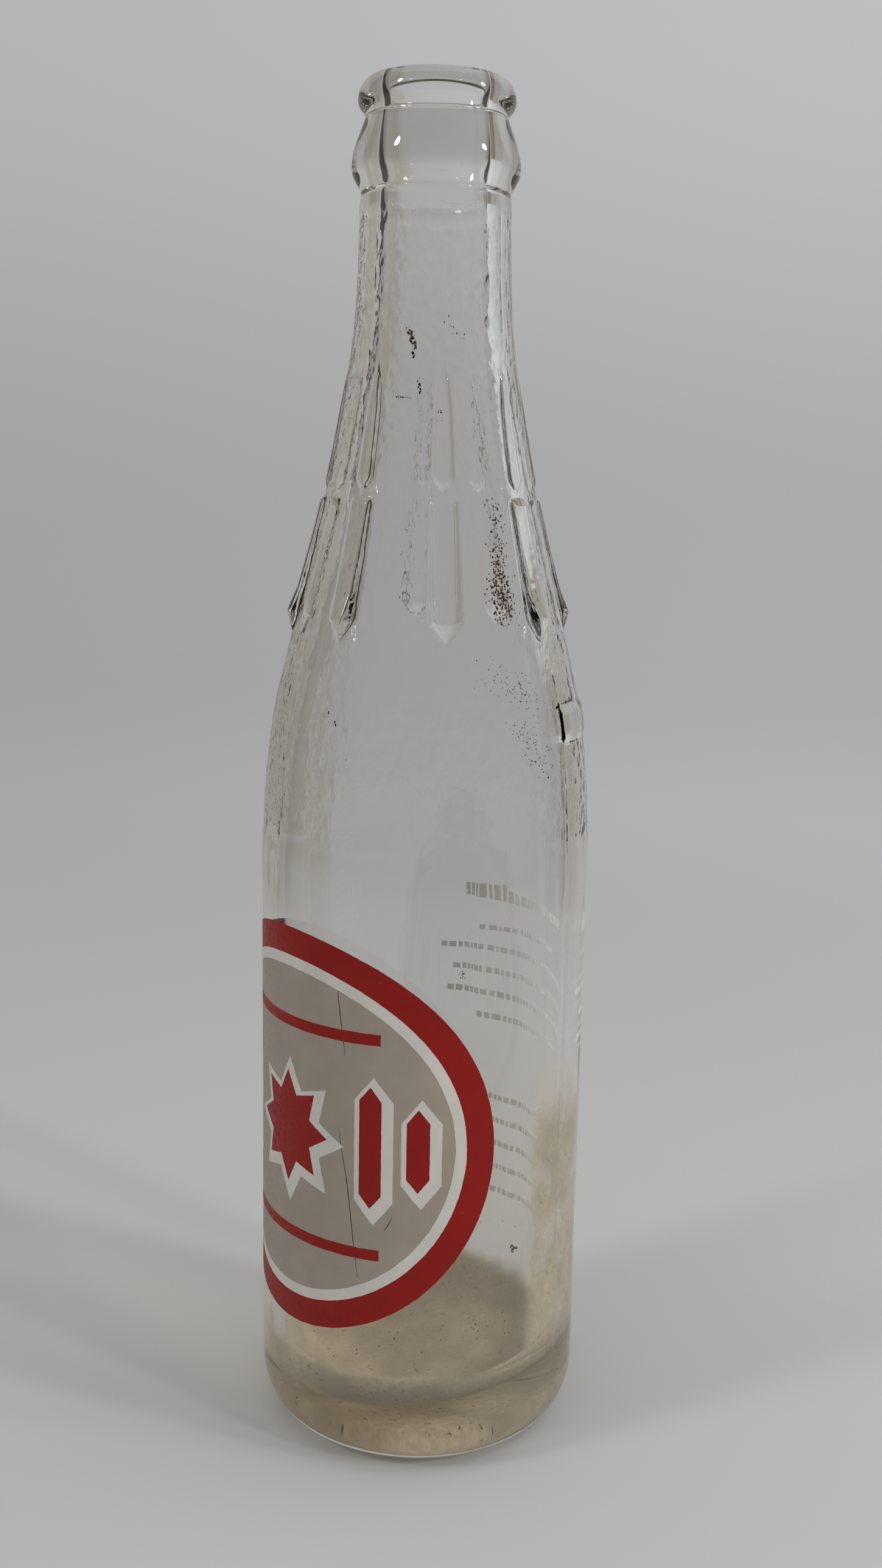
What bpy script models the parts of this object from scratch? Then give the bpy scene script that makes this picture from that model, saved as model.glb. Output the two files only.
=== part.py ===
"""Clear glass soda bottle with a crown finish, stepped shoulder ribs and fired enamel labels.

Metres, +Z up. The bottle stands on the origin and its front label faces -Y.
Angles round the bottle are measured from the front label, positive towards +X.
"""
import math

import bmesh
import bpy
from mathutils import Vector

# Overall size
HEIGHT = 0.240
BODY_RADIUS = 0.0295
SHOULDER_SWELL = 0.0002
NECK_RADIUS = 0.01295

# Base: a rounded heel, a flat bearing ring and a shallow push-up inside it
HEEL_HEIGHT = 0.0102
HEEL_RUN = 0.0084
BEARING_WIDTH = 0.0018
PUSH_UP = 0.0030

# Heights where the straight label panel ends and where the shoulder begins
PANEL_TOP = 0.0985
SHOULDER_FOOT = 0.107

# Shoulder outline: share of the way up to the neck, share of the way out from the neck
SHOULDER_SHARES = (
    (0.0, 1.0), (0.11, 0.968), (0.18, 0.922), (0.25, 0.853), (0.32, 0.743), (0.38, 0.645), (0.48, 0.481),
    (0.58, 0.328), (0.68, 0.196), (0.79, 0.082), (0.86, 0.036), (0.93, 0.016), (1.0, 0.0),
)

# Crown finish, measured down from the lip
NECK_DROP = 0.0208
RING_FOOT_DROP = 0.0188
RING_FOOT_RADIUS = 0.0127
RING_DROP = 0.0141
GROOVE_DROP = 0.0063
BEAD_DROP = 0.0037
RING_RADIUS = 0.01434
GROOVE_RADIUS = 0.0121
BEAD_RADIUS = 0.01335
LIP_ROUND = 0.00285
LAND_INNER_ROUND = 0.0008

# Finish outline between those sizes: share of the way up, share of the way out or in
RING_UNDER_SHARES = ((0.20, 0.18), (0.43, 0.57), (0.64, 0.86), (0.85, 0.98), (1.0, 1.0))
RING_OVER_SHARES = ((0.17, 0.06), (0.43, 0.30), (0.69, 0.63), (0.93, 0.94), (1.0, 1.0))
BEAD_UNDER_SHARES = ((0.20, 0.14), (0.50, 0.62), (0.75, 0.90), (1.0, 1.0))

# Glass thickness and the inside
BODY_WALL = 0.0039
NECK_WALL = 0.0042
FLOOR_THICKNESS = 0.0108
FLOOR_DOME = 0.0012
INNER_HEEL_RADIUS = 0.008
BORE_RADIUS = 0.0086
BORE_SWELL = 0.0005

# Shoulder ribs: a pointed blade over a wider bar, both standing on their foot outline
RIB_COUNT = 8
RIB_OFFSET = math.radians(14.0)
RIB_SINK = 0.0010
RIB_POINT_SINK = 0.0006
RIB_FLANK_SHARE = 0.75
BLADE_HALF_WIDTH = 0.00175
BLADE_PROUD = 0.0004
BAR_HALF_WIDTH = 0.0030
BAR_PROUD = 0.0017
RIB_CREST_SHARE = 0.04

# Rib outline: share of the way up the shoulder, share of the half width, share of the height
BLADE_SHARES = (
    (0.770, 0.0, 0.15), (0.742, 0.50, 0.55), (0.702, 0.80, 0.80), (0.652, 0.92, 0.90), (0.597, 1.0, 1.0),
)
BLADE_POINT_SHARE = 0.578
BAR_SHARES = ((0.570, 0.77, 0.32), (0.500, 0.84, 0.42), (0.430, 0.93, 0.62), (0.394, 1.0, 1.0))
BAR_POINT_SHARE = 0.360

# Plain raised tablet on the shoulder
TABLET_ANGLE = math.radians(125.0)
TABLET_LENGTH = 0.017
TABLET_HEIGHT = 0.0066
TABLET_CORNER = 0.0012
TABLET_PROUD = 0.0005
TABLET_SHARE = 0.234

# Enamel: thickness, clearance over the glass and between colours
ENAMEL_THICKNESS = 0.00025
ENAMEL_CLEARANCE = 0.0003
PRINT_GAP = 0.0004
ENAMEL_STRIP = 0.004

# Front label: an oval frame, a line inside it and a panel
LABEL_CENTRE = 0.0616
LABEL_WRAP = math.radians(153.8)
LABEL_HEIGHT = 0.0726
FRAME_WIDTH = 0.0048
KEYLINE_WIDTH = 0.0017

# Star on the panel: shares of the panel's half width and half height, and of the way out to a valley
STAR_WIDTH_SHARE = 0.30
STAR_HEIGHT_SHARE = 0.36
STAR_VALLEY_SHARE = 0.635
STAR_POINTS = 8

# Upright pointed bars beside the star: places and width as shares of the panel's half width, half lengths
# as shares of its half height, and the points as a share of the bar's width
INNER_BAR_PLACE_SHARE = 0.557
OUTER_BAR_PLACE_SHARE = 0.813
PRINTED_BAR_WIDTH_SHARE = 0.122
PRINTED_BAR_POINT_SHARE = 0.62
INNER_BAR_LENGTH_SHARE = 0.379
OUTER_BAR_LENGTH_SHARE = 0.26

# White edges of the star and bars, wider below right, as shares of the panel's half width
EDGE_WIDTH_SHARE = 0.046
EDGE_SHIFT_SHARE = 0.018

# Plain red rules above and below the star, as shares of the panel's half sizes
RULE_PLACE_SHARE = 0.672
RULE_LENGTH_SHARE = 0.61
RULE_WIDTH_SHARE = 0.069

# Back print: a heading and two blocks of plain rows hung below it, each drop taken from the row before
BACK_ANGLE = math.radians(180.0)
BACK_ROW_END_STEPS = 3
HEADING_HEIGHT = 0.0938
HEADING_WIDTH = 0.0400
HEADING_THICKNESS = 0.0026
ROW_WIDTH = 0.0480
ROW_THICKNESS = 0.0016
UPPER_ROWS_DROP = 0.0068
UPPER_ROWS = 5
UPPER_ROW_PITCH = 0.0046
LOWER_ROWS_DROP = 0.0166
LOWER_ROWS = 5
LOWER_ROW_PITCH = 0.0050
ROW_WIDTH_SHARES = (0.55, 1.0, 0.86, 0.94, 0.62)
ROW_CORNER_SHARE = 0.45

# Fineness of the model
SEGMENTS = 64
SHOULDER_STEPS = 16
INNER_SHOULDER_STEPS = 9
HEEL_STEPS = 5
PUSH_UP_STEPS = 3
LIP_STEPS = 4
OVAL_STEPS = 44
TABLET_CORNER_STEPS = 2
CURVE_SAMPLES = 12
SHARP_ANGLE = math.radians(30.0)
MERGE_DISTANCE = 0.000001


def shoulder_height(share):
    """Height at a share of the way from the shoulder's foot up to the top of the neck."""
    return SHOULDER_FOOT + share * (HEIGHT - NECK_DROP - SHOULDER_FOOT)


def smooth_through(points, samples):
    """Run a Catmull-Rom curve through plane points, with a number of samples on each span."""
    padded = [points[0]] + list(points) + [points[-1]]
    curve = []
    for before, start, end, after in zip(padded, padded[1:], padded[2:], padded[3:]):
        for index in range(samples):
            t = index / samples
            weights = (
                -0.5 * t + t * t - 0.5 * t ** 3,
                1.0 - 2.5 * t * t + 1.5 * t ** 3,
                0.5 * t + 2.0 * t * t - 1.5 * t ** 3,
                -0.5 * t * t + 0.5 * t ** 3,
            )
            curve.append(tuple(
                sum(weight * knot[axis] for weight, knot in zip(weights, (before, start, end, after)))
                for axis in (0, 1)
            ))
    curve.append(points[-1])
    return curve


SHOULDER_CURVE_SHARES = smooth_through(SHOULDER_SHARES, CURVE_SAMPLES)


def shoulder_share(share):
    """Share of the way out from the neck, at a share of the way up the shoulder."""
    for (low, low_out), (high, high_out) in zip(SHOULDER_CURVE_SHARES, SHOULDER_CURVE_SHARES[1:]):
        if share <= high:
            return low_out + (high_out - low_out) * (share - low) / (high - low)
    return SHOULDER_CURVE_SHARES[-1][1]


def shoulder_radius(height):
    """Outer radius of the glass at a height on the shoulder."""
    share = (height - SHOULDER_FOOT) / (HEIGHT - NECK_DROP - SHOULDER_FOOT)
    reach = BODY_RADIUS + SHOULDER_SWELL - NECK_RADIUS
    return NECK_RADIUS + reach * shoulder_share(max(0.0, share))


def body_radius(_height):
    """Radius on which the enamel lies, clear of the straight body."""
    return BODY_RADIUS + ENAMEL_CLEARANCE


def arc(centre, radius, rise, start, end, steps):
    """Points on an elliptical arc in the turned outline, without its first point."""
    points = []
    for index in range(1, steps + 1):
        angle = math.radians(start + (end - start) * index / steps)
        points.append((centre[0] + radius * math.cos(angle), centre[1] + rise * math.sin(angle)))
    return points


def stations(start, end, shares):
    """Points between two corners of the outline, at shares of the way up and out."""
    return [
        (start[0] + out * (end[0] - start[0]), start[1] + up * (end[1] - start[1]))
        for up, out in shares
    ]


def base_outline():
    """From the middle of the push-up over the bearing ring and the heel to the top of the label panel."""
    bearing = BODY_RADIUS - HEEL_RUN
    points = [(0.0, PUSH_UP)]
    points += arc((0.0, 0.0), bearing - BEARING_WIDTH, PUSH_UP, 90.0, 0.0, PUSH_UP_STEPS)
    points.append((bearing, 0.0))
    points += arc((bearing, HEEL_HEIGHT), HEEL_RUN, HEEL_HEIGHT, -90.0, 0.0, HEEL_STEPS)
    points.append((BODY_RADIUS, PANEL_TOP))
    points.append((BODY_RADIUS + SHOULDER_SWELL / 2.0, (PANEL_TOP + SHOULDER_FOOT) / 2.0))
    return points


def finish_outline():
    """From the neck over the reinforcing ring, the groove and the bead to the flat land of the lip."""
    foot = (RING_FOOT_RADIUS, HEIGHT - RING_FOOT_DROP)
    ring = (RING_RADIUS, HEIGHT - RING_DROP)
    groove = (GROOVE_RADIUS, HEIGHT - GROOVE_DROP)
    bead = (BEAD_RADIUS, HEIGHT - BEAD_DROP)
    points = [foot]
    points += stations(foot, ring, RING_UNDER_SHARES)
    points += stations(ring, groove, RING_OVER_SHARES)
    points += stations(groove, bead, BEAD_UNDER_SHARES)
    points += arc((BEAD_RADIUS - LIP_ROUND, bead[1]), LIP_ROUND, BEAD_DROP, 0.0, 90.0, LIP_STEPS)
    return points


def bore_outline():
    """From the lip's land down the bore of the finish to the neck."""
    land = BORE_RADIUS + LAND_INNER_ROUND
    points = [(land, HEIGHT)]
    points += arc((land, HEIGHT - LAND_INNER_ROUND), -LAND_INNER_ROUND, LAND_INNER_ROUND, 90.0, 0.0, 2)
    points.append((BORE_RADIUS, HEIGHT - GROOVE_DROP))
    points.append((BORE_RADIUS + BORE_SWELL, HEIGHT - RING_DROP))
    return points


def inside_outline():
    """From the neck down the inner wall, round the inner heel and to the middle of the domed floor."""
    points = []
    for index in range(INNER_SHOULDER_STEPS + 1):
        share = 1.0 - index / INNER_SHOULDER_STEPS
        wall = BODY_WALL + (NECK_WALL - BODY_WALL) * share
        height = shoulder_height(share)
        points.append((shoulder_radius(height) - wall, height))
    inner = BODY_RADIUS - BODY_WALL
    flat = inner - INNER_HEEL_RADIUS
    heel = FLOOR_THICKNESS + INNER_HEEL_RADIUS
    points.append((inner, PANEL_TOP))
    points.append((inner, heel))
    points += arc((flat, heel), INNER_HEEL_RADIUS, INNER_HEEL_RADIUS, 0.0, -90.0, HEEL_STEPS)
    points.append((flat / 2.0, FLOOR_THICKNESS + 0.75 * FLOOR_DOME))
    points.append((0.0, FLOOR_THICKNESS + FLOOR_DOME))
    return points


def glass_outline():
    """The whole turned cross-section, from the push-up round the outside and down the inside."""
    points = base_outline()
    for index in range(SHOULDER_STEPS + 1):
        height = shoulder_height(index / SHOULDER_STEPS)
        points.append((shoulder_radius(height), height))
    points += finish_outline()
    points += bore_outline()
    points += inside_outline()
    return points


def material(name, colour, roughness, transmission=0.0):
    """A Principled material."""
    made = bpy.data.materials.new(name)
    made.use_nodes = True
    shader = made.node_tree.nodes["Principled BSDF"]
    shader.inputs["Base Color"].default_value = (*colour, 1.0)
    shader.inputs["Roughness"].default_value = roughness
    shader.inputs["Metallic"].default_value = 0.0
    shader.inputs["Transmission Weight"].default_value = transmission
    return made


def add_object(name, bm, finish, smooth=True):
    """Turn a bmesh into a named object with one material, smooth but for its sharp edges, or faceted."""
    mesh = bpy.data.meshes.new(name)
    bm.to_mesh(mesh)
    bm.free()
    mesh.materials.append(finish)
    if smooth:
        mesh.shade_smooth()
        mesh.set_sharp_from_angle(angle=SHARP_ANGLE)
    added = bpy.data.objects.new(name, mesh)
    bpy.context.collection.objects.link(added)
    return added


def turned_glass():
    """Spin the cross-section once round the bottle's axis."""
    bm = bmesh.new()
    corners = [bm.verts.new((radius, 0.0, height)) for radius, height in glass_outline()]
    edges = [bm.edges.new(pair) for pair in zip(corners, corners[1:])]
    bmesh.ops.spin(
        bm, geom=corners + edges, axis=(0.0, 0.0, 1.0), cent=(0.0, 0.0, 0.0),
        angle=2.0 * math.pi, steps=SEGMENTS, use_merge=True,
    )
    bmesh.ops.remove_doubles(bm, verts=bm.verts, dist=MERGE_DISTANCE)
    bmesh.ops.recalc_face_normals(bm, faces=bm.faces)
    return bm


def lay_on_glass(verts, angle, surface):
    """Bend flat work round the glass: x runs round it, y runs into it and z runs up it."""
    for vert in verts:
        radius = surface(vert.co.z)
        turn = angle + vert.co.x / radius
        reach = radius - vert.co.y
        vert.co = Vector((reach * math.sin(turn), -reach * math.cos(turn), vert.co.z))


def rib_section(half_width, proud):
    """Four corners of a rib's cross-section: a sunk foot, sloping flanks and a flat face."""
    foot = half_width + RIB_SINK * RIB_FLANK_SHARE
    crest = max(half_width - proud * RIB_FLANK_SHARE, RIB_SINK * RIB_CREST_SHARE)
    return ((-foot, RIB_SINK), (foot, RIB_SINK), (crest, -proud), (-crest, -proud))


def join_into(bm, flat, angle):
    """Lay a piece of flat work on the shoulder and add it to the raised work."""
    bmesh.ops.recalc_face_normals(flat, faces=flat.faces)
    lay_on_glass(flat.verts, angle, shoulder_radius)
    scrap = bpy.data.meshes.new("raised piece")
    flat.to_mesh(scrap)
    flat.free()
    bm.from_mesh(scrap)
    bpy.data.meshes.remove(scrap)


def add_rib(bm, sections, low_point, angle):
    """Loft one rib downwards through its sections and draw it to a point below."""
    flat = bmesh.new()
    height, half_width, proud = sections[0]
    corners = [flat.verts.new((x, y, height)) for x, y in rib_section(half_width, proud)]
    face = flat.faces.new(corners)
    for height, half_width, proud in sections[1:]:
        face = next_section(flat, face, keep=height == sections[1][0])
        place_section(face, rib_section(half_width, proud), height)
    tip = next_section(flat, face, keep=False).verts[:]
    foot = [vert for vert in tip if vert.co.y > 0.0]
    crest = [vert for vert in tip if vert.co.y < 0.0]
    bmesh.ops.pointmerge(flat, verts=foot, merge_co=(0.0, RIB_SINK, low_point - RIB_POINT_SINK))
    bmesh.ops.pointmerge(flat, verts=crest, merge_co=(0.0, 0.0, low_point))
    join_into(bm, flat, angle)


def next_section(bm, face, keep):
    """Extrude a rib's end face into its next section, keeping the old face only where the rib starts."""
    grown = bmesh.ops.extrude_face_region(bm, geom=[face])["geom"]
    if not keep:
        bmesh.ops.delete(bm, geom=[face], context="FACES_ONLY")
    return next(item for item in grown if isinstance(item, bmesh.types.BMFace))


def place_section(face, corners, height):
    """Move the four corners of a section, matched by side and depth, to their new places."""
    middle = sum(vert.co.y for vert in face.verts) / len(face.verts)
    sunk_left, sunk_right, proud_right, proud_left = corners
    for vert in face.verts:
        if vert.co.y > middle:
            x, y = sunk_right if vert.co.x > 0.0 else sunk_left
        else:
            x, y = proud_right if vert.co.x > 0.0 else proud_left
        vert.co = Vector((x, y, height))


def rib_stations(shares, half_width, proud):
    """Heights, half widths and heights above the glass of one tier of a rib."""
    return [
        (shoulder_height(up), half_width * width, proud * rise)
        for up, width, rise in shares
    ]


def rounded_outline(length, height, corner, steps):
    """A rectangle with round corners about the origin, anticlockwise."""
    points = []
    for side, start in ((1, 0.0), (2, 90.0), (3, 180.0), (4, 270.0)):
        x = (length / 2.0 - corner) * (1 if side in (1, 4) else -1)
        z = (height / 2.0 - corner) * (1 if side in (1, 2) else -1)
        for index in range(steps + 1):
            angle = math.radians(start + 90.0 * index / steps)
            points.append((x + corner * math.cos(angle), z + corner * math.sin(angle)))
    return points


def fill_outlines(bm, outlines, height):
    """Fill flat outlines, the later ones being holes, at a height up the bottle."""
    edges = []
    for outline in outlines:
        corners = [bm.verts.new((x, 0.0, height + z)) for x, z in outline]
        edges += [bm.edges.new((a, b)) for a, b in zip(corners, corners[1:] + corners[:1])]
    bmesh.ops.triangle_fill(bm, use_beauty=True, edges=edges, normal=(0.0, -1.0, 0.0))


def cut_in_strips(bm):
    """Cut flat work into upright strips, so that it can follow the round glass."""
    reach = max(abs(vert.co.x) for vert in bm.verts)
    count = int(reach / ENAMEL_STRIP)
    for index in range(-count, count + 1):
        geometry = bm.verts[:] + bm.edges[:] + bm.faces[:]
        bmesh.ops.bisect_plane(
            bm, geom=geometry, dist=MERGE_DISTANCE,
            plane_co=(index * ENAMEL_STRIP, 0.0, 0.0), plane_no=(1.0, 0.0, 0.0),
        )


def thicken(bm, depth):
    """Give flat work its thickness, outwards from the glass."""
    grown = bmesh.ops.extrude_face_region(bm, geom=bm.faces[:])["geom"]
    moved = [item for item in grown if isinstance(item, bmesh.types.BMVert)]
    bmesh.ops.translate(bm, verts=moved, vec=(0.0, -depth, 0.0))
    bmesh.ops.recalc_face_normals(bm, faces=bm.faces)


def add_tablet(bm):
    """Add the raised tablet, sunk into the shoulder for the union."""
    flat = bmesh.new()
    outline = rounded_outline(TABLET_LENGTH, TABLET_HEIGHT, TABLET_CORNER, TABLET_CORNER_STEPS)
    fill_outlines(flat, [outline], shoulder_height(TABLET_SHARE))
    cut_in_strips(flat)
    thicken(flat, RIB_SINK + TABLET_PROUD)
    bmesh.ops.translate(flat, verts=flat.verts, vec=(0.0, RIB_SINK, 0.0))
    join_into(bm, flat, TABLET_ANGLE)


def make_glass(glass):
    """The moulded bottle: a turned body with the raised work of the shoulder joined to it."""
    raised = bmesh.new()
    blade = rib_stations(BLADE_SHARES, BLADE_HALF_WIDTH, BLADE_PROUD)
    bar = rib_stations(BAR_SHARES, BAR_HALF_WIDTH, BAR_PROUD)
    for index in range(RIB_COUNT):
        angle = RIB_OFFSET + index * 2.0 * math.pi / RIB_COUNT
        add_rib(raised, blade, shoulder_height(BLADE_POINT_SHARE), angle)
        add_rib(raised, bar, shoulder_height(BAR_POINT_SHARE), angle)
    add_tablet(raised)
    guide = add_object("raised_work", raised, glass, smooth=False)
    guide.hide_render = True
    guide.display_type = "WIRE"
    bottle = add_object("glass_bottle", turned_glass(), glass)
    join = bottle.modifiers.new("join the raised work", "BOOLEAN")
    join.operation = "UNION"
    join.object = guide
    return bottle


def label_half_width():
    """Half the label's width, measured round the body."""
    return (BODY_RADIUS + ENAMEL_CLEARANCE) * LABEL_WRAP / 2.0


def oval_outline(inset):
    """The label's oval, drawn in by an inset from its outer edge."""
    points = []
    for index in range(OVAL_STEPS):
        angle = 2.0 * math.pi * index / OVAL_STEPS
        points.append((
            (label_half_width() - inset) * math.cos(angle),
            (LABEL_HEIGHT / 2.0 - inset) * math.sin(angle),
        ))
    return points


def keyline_inset():
    """How far in from the label's edge the white line starts."""
    return FRAME_WIDTH + PRINT_GAP


def panel_inset():
    """How far in from the label's edge the panel starts."""
    return keyline_inset() + KEYLINE_WIDTH + PRINT_GAP


def panel_half_width():
    """Half the width of the panel."""
    return label_half_width() - panel_inset()


def panel_half_height():
    """Half the height of the panel."""
    return LABEL_HEIGHT / 2.0 - panel_inset()


def grown(outline, amount, shift):
    """Grow an anticlockwise outline evenly all round, then shift it to the right and down."""
    points = []
    for before, corner, after in zip(outline[-1:] + outline[:-1], outline, outline[1:] + outline[:1]):
        into = (Vector(corner) - Vector(before)).normalized()
        out = (Vector(after) - Vector(corner)).normalized()
        normal_in = Vector((into.y, -into.x))
        normal_out = Vector((out.y, -out.x))
        moved = Vector(corner) + (normal_in + normal_out) * amount / (1.0 + normal_in.dot(normal_out))
        points.append((moved.x + shift, moved.y - shift))
    return points


def star_outline():
    """A star of pointed rays."""
    points = []
    for index in range(2 * STAR_POINTS):
        reach = STAR_VALLEY_SHARE if index % 2 else 1.0
        angle = math.pi * index / STAR_POINTS
        points.append((
            reach * STAR_WIDTH_SHARE * panel_half_width() * math.cos(angle),
            reach * STAR_HEIGHT_SHARE * panel_half_height() * math.sin(angle),
        ))
    return points


def bar_outline(place_share, length_share):
    """An upright bar pointed at both ends."""
    width = PRINTED_BAR_WIDTH_SHARE * panel_half_width()
    centre = place_share * panel_half_width()
    point = length_share * panel_half_height()
    shoulder = point - PRINTED_BAR_POINT_SHARE * width
    right = centre + width / 2.0
    left = centre - width / 2.0
    upper = [(right, shoulder), (centre, point), (left, shoulder)]
    lower = [(left, -shoulder), (centre, -point), (right, -shoulder)]
    return upper + lower


def motif_outlines(clearance, edge_share):
    """Outlines of the star and bars by piece name, grown by a clearance and by a share of the white edge."""
    outlines = {"star": star_outline()}
    for side, side_name in ((1, "right"), (-1, "left")):
        outlines["bar_inner_" + side_name] = bar_outline(side * INNER_BAR_PLACE_SHARE, INNER_BAR_LENGTH_SHARE)
        outlines["bar_outer_" + side_name] = bar_outline(side * OUTER_BAR_PLACE_SHARE, OUTER_BAR_LENGTH_SHARE)
    amount = clearance + edge_share * EDGE_WIDTH_SHARE * panel_half_width()
    shift = edge_share * EDGE_SHIFT_SHARE * panel_half_width()
    return {name: grown(outline, amount, shift) for name, outline in outlines.items()}


def rule_outline(side):
    """A plain rule with square ends, above or below the star."""
    half_length = RULE_LENGTH_SHARE * panel_half_width()
    middle = side * RULE_PLACE_SHARE * panel_half_height()
    half_width = RULE_WIDTH_SHARE * panel_half_height() / 2.0
    low = middle - half_width
    high = middle + half_width
    return [(half_length, low), (half_length, high), (-half_length, high), (-half_length, low)]


def make_enamel(name, outlines, height, angle, finish):
    """One fired patch of enamel, bent round the body, clear of the glass and turned to its place."""
    bm = bmesh.new()
    fill_outlines(bm, outlines, 0.0)
    cut_in_strips(bm)
    thicken(bm, ENAMEL_THICKNESS)
    lay_on_glass(bm.verts, 0.0, body_radius)
    patch = add_object(name, bm, finish)
    patch.location.z = height
    patch.rotation_euler.z = angle
    return patch


def make_front_label(red, white, grey):
    """The oval frame, its line and panel, the star and bars with their white edges, and the rules."""
    frame = [oval_outline(0.0), oval_outline(FRAME_WIDTH)]
    keyline = [oval_outline(keyline_inset()), oval_outline(keyline_inset() + KEYLINE_WIDTH)]
    make_enamel("label_frame", frame, LABEL_CENTRE, 0.0, red)
    make_enamel("label_keyline", keyline, LABEL_CENTRE, 0.0, white)
    holes = list(motif_outlines(PRINT_GAP, 1.0).values())
    holes += [grown(rule_outline(side), PRINT_GAP, 0.0) for side in (1, -1)]
    make_enamel("label_panel", [oval_outline(panel_inset())] + holes, LABEL_CENTRE, 0.0, grey)
    for side, name in ((1, "label_rule_upper"), (-1, "label_rule_lower")):
        make_enamel(name, [rule_outline(side)], LABEL_CENTRE, 0.0, red)
    cleared = motif_outlines(PRINT_GAP, 0.0)
    edges = motif_outlines(0.0, 1.0)
    for name, outline in motif_outlines(0.0, 0.0).items():
        make_enamel("label_" + name, [outline], LABEL_CENTRE, 0.0, red)
        make_enamel("label_" + name + "_edge", [edges[name], cleared[name]], LABEL_CENTRE, 0.0, white)


def make_back_rows(white):
    """Plain rows in place of the small print on the back."""
    rows = [("back_heading", HEADING_HEIGHT, HEADING_WIDTH, HEADING_THICKNESS)]
    blocks = (
        ("back_upper_row_", UPPER_ROWS, UPPER_ROWS_DROP, UPPER_ROW_PITCH),
        ("back_lower_row_", LOWER_ROWS, LOWER_ROWS_DROP, LOWER_ROW_PITCH),
    )
    height = HEADING_HEIGHT
    for name, count, drop, pitch in blocks:
        for index in range(count):
            height -= pitch if index else drop
            share = ROW_WIDTH_SHARES[index % len(ROW_WIDTH_SHARES)]
            rows.append((name + str(index + 1), height, ROW_WIDTH * share, ROW_THICKNESS))
    for name, height, width, thickness in rows:
        outline = rounded_outline(width, thickness, thickness * ROW_CORNER_SHARE, BACK_ROW_END_STEPS)
        make_enamel(name, [outline], height, BACK_ANGLE, white)


def main():
    """Clear the scene and build the bottle and its enamel."""
    for old in list(bpy.data.objects):
        bpy.data.objects.remove(old, do_unlink=True)
    glass = material("clear glass", (0.86, 0.86, 0.80), 0.03, transmission=1.0)
    red = material("red enamel", (0.39, 0.015, 0.012), 0.35)
    white = material("white enamel", (0.68, 0.70, 0.67), 0.4)
    grey = material("grey enamel", (0.41, 0.38, 0.37), 0.45)
    make_glass(glass)
    make_front_label(red, white, grey)
    make_back_rows(white)


main()
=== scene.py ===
"""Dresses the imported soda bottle: clear stippled glass, fired enamel, dried residue, floor and light.

Metres, +Z up. Angles round the bottle are measured from the middle of the front label, positive towards +X.
"""

import math
import random

import bmesh
import bpy
from bpy.props import FloatProperty, FloatVectorProperty, PointerProperty
from mathutils import Matrix, Vector, noise


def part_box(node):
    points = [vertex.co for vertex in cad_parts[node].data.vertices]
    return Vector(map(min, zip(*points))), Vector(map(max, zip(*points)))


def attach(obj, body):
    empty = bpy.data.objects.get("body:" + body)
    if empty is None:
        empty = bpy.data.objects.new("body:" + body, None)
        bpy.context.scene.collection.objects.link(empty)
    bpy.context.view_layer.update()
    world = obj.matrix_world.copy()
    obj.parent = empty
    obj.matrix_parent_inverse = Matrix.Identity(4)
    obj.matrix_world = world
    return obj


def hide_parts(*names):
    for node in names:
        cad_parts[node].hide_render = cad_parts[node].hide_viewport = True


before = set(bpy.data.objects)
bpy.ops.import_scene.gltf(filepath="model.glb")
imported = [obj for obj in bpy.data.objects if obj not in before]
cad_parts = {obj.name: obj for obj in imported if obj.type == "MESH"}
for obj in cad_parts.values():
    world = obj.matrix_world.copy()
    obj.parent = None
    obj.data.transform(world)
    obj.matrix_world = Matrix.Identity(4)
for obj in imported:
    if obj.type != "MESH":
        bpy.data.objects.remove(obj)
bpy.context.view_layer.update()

bl_info = {
    "name": "Soda bottle",
    "version": (1, 0, 0),
    "blender": (4, 5, 0),
    "location": "3D view > Sidebar > Bottle",
    "description": "Builds a clear glass soda bottle with fired enamel labels around its packed frame",
    "category": "Object",
}

MM = 0.001

# Main sizes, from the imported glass
GLASS_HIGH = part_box("glass_bottle")[1]
HEIGHT = GLASS_HIGH.z
SWELL_RADIUS = GLASS_HIGH.x
SWELL = 0.2 * MM
BODY_RADIUS = SWELL_RADIUS - SWELL
NECK_RADIUS = 12.95 * MM

# Base; the arc of the push-up stops a few degrees short of level
HEEL_HEIGHT = 10.2 * MM
HEEL_RUN = 8.4 * MM
BEARING_WIDTH = 1.8 * MM
BEARING_ROUND = 0.35 * MM
PUSH_UP = 3.0 * MM
PUSH_UP_END = 3
PANEL_TOP = 98.5 * MM
SHOULDER_FOOT = 107 * MM
SWELL_SHARES = (0.3, 0.7)

# Shoulder outline: share of the way up to the neck, share of the way out from the neck
SHOULDER_SHARES = (
    (0.0, 1.0), (0.11, 0.968), (0.18, 0.922), (0.25, 0.853), (0.32, 0.743), (0.38, 0.645), (0.48, 0.481),
    (0.58, 0.328), (0.68, 0.196), (0.79, 0.082), (0.86, 0.036), (0.93, 0.016), (1.0, 0.0),
)
CURVE_SAMPLES = 12

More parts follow.
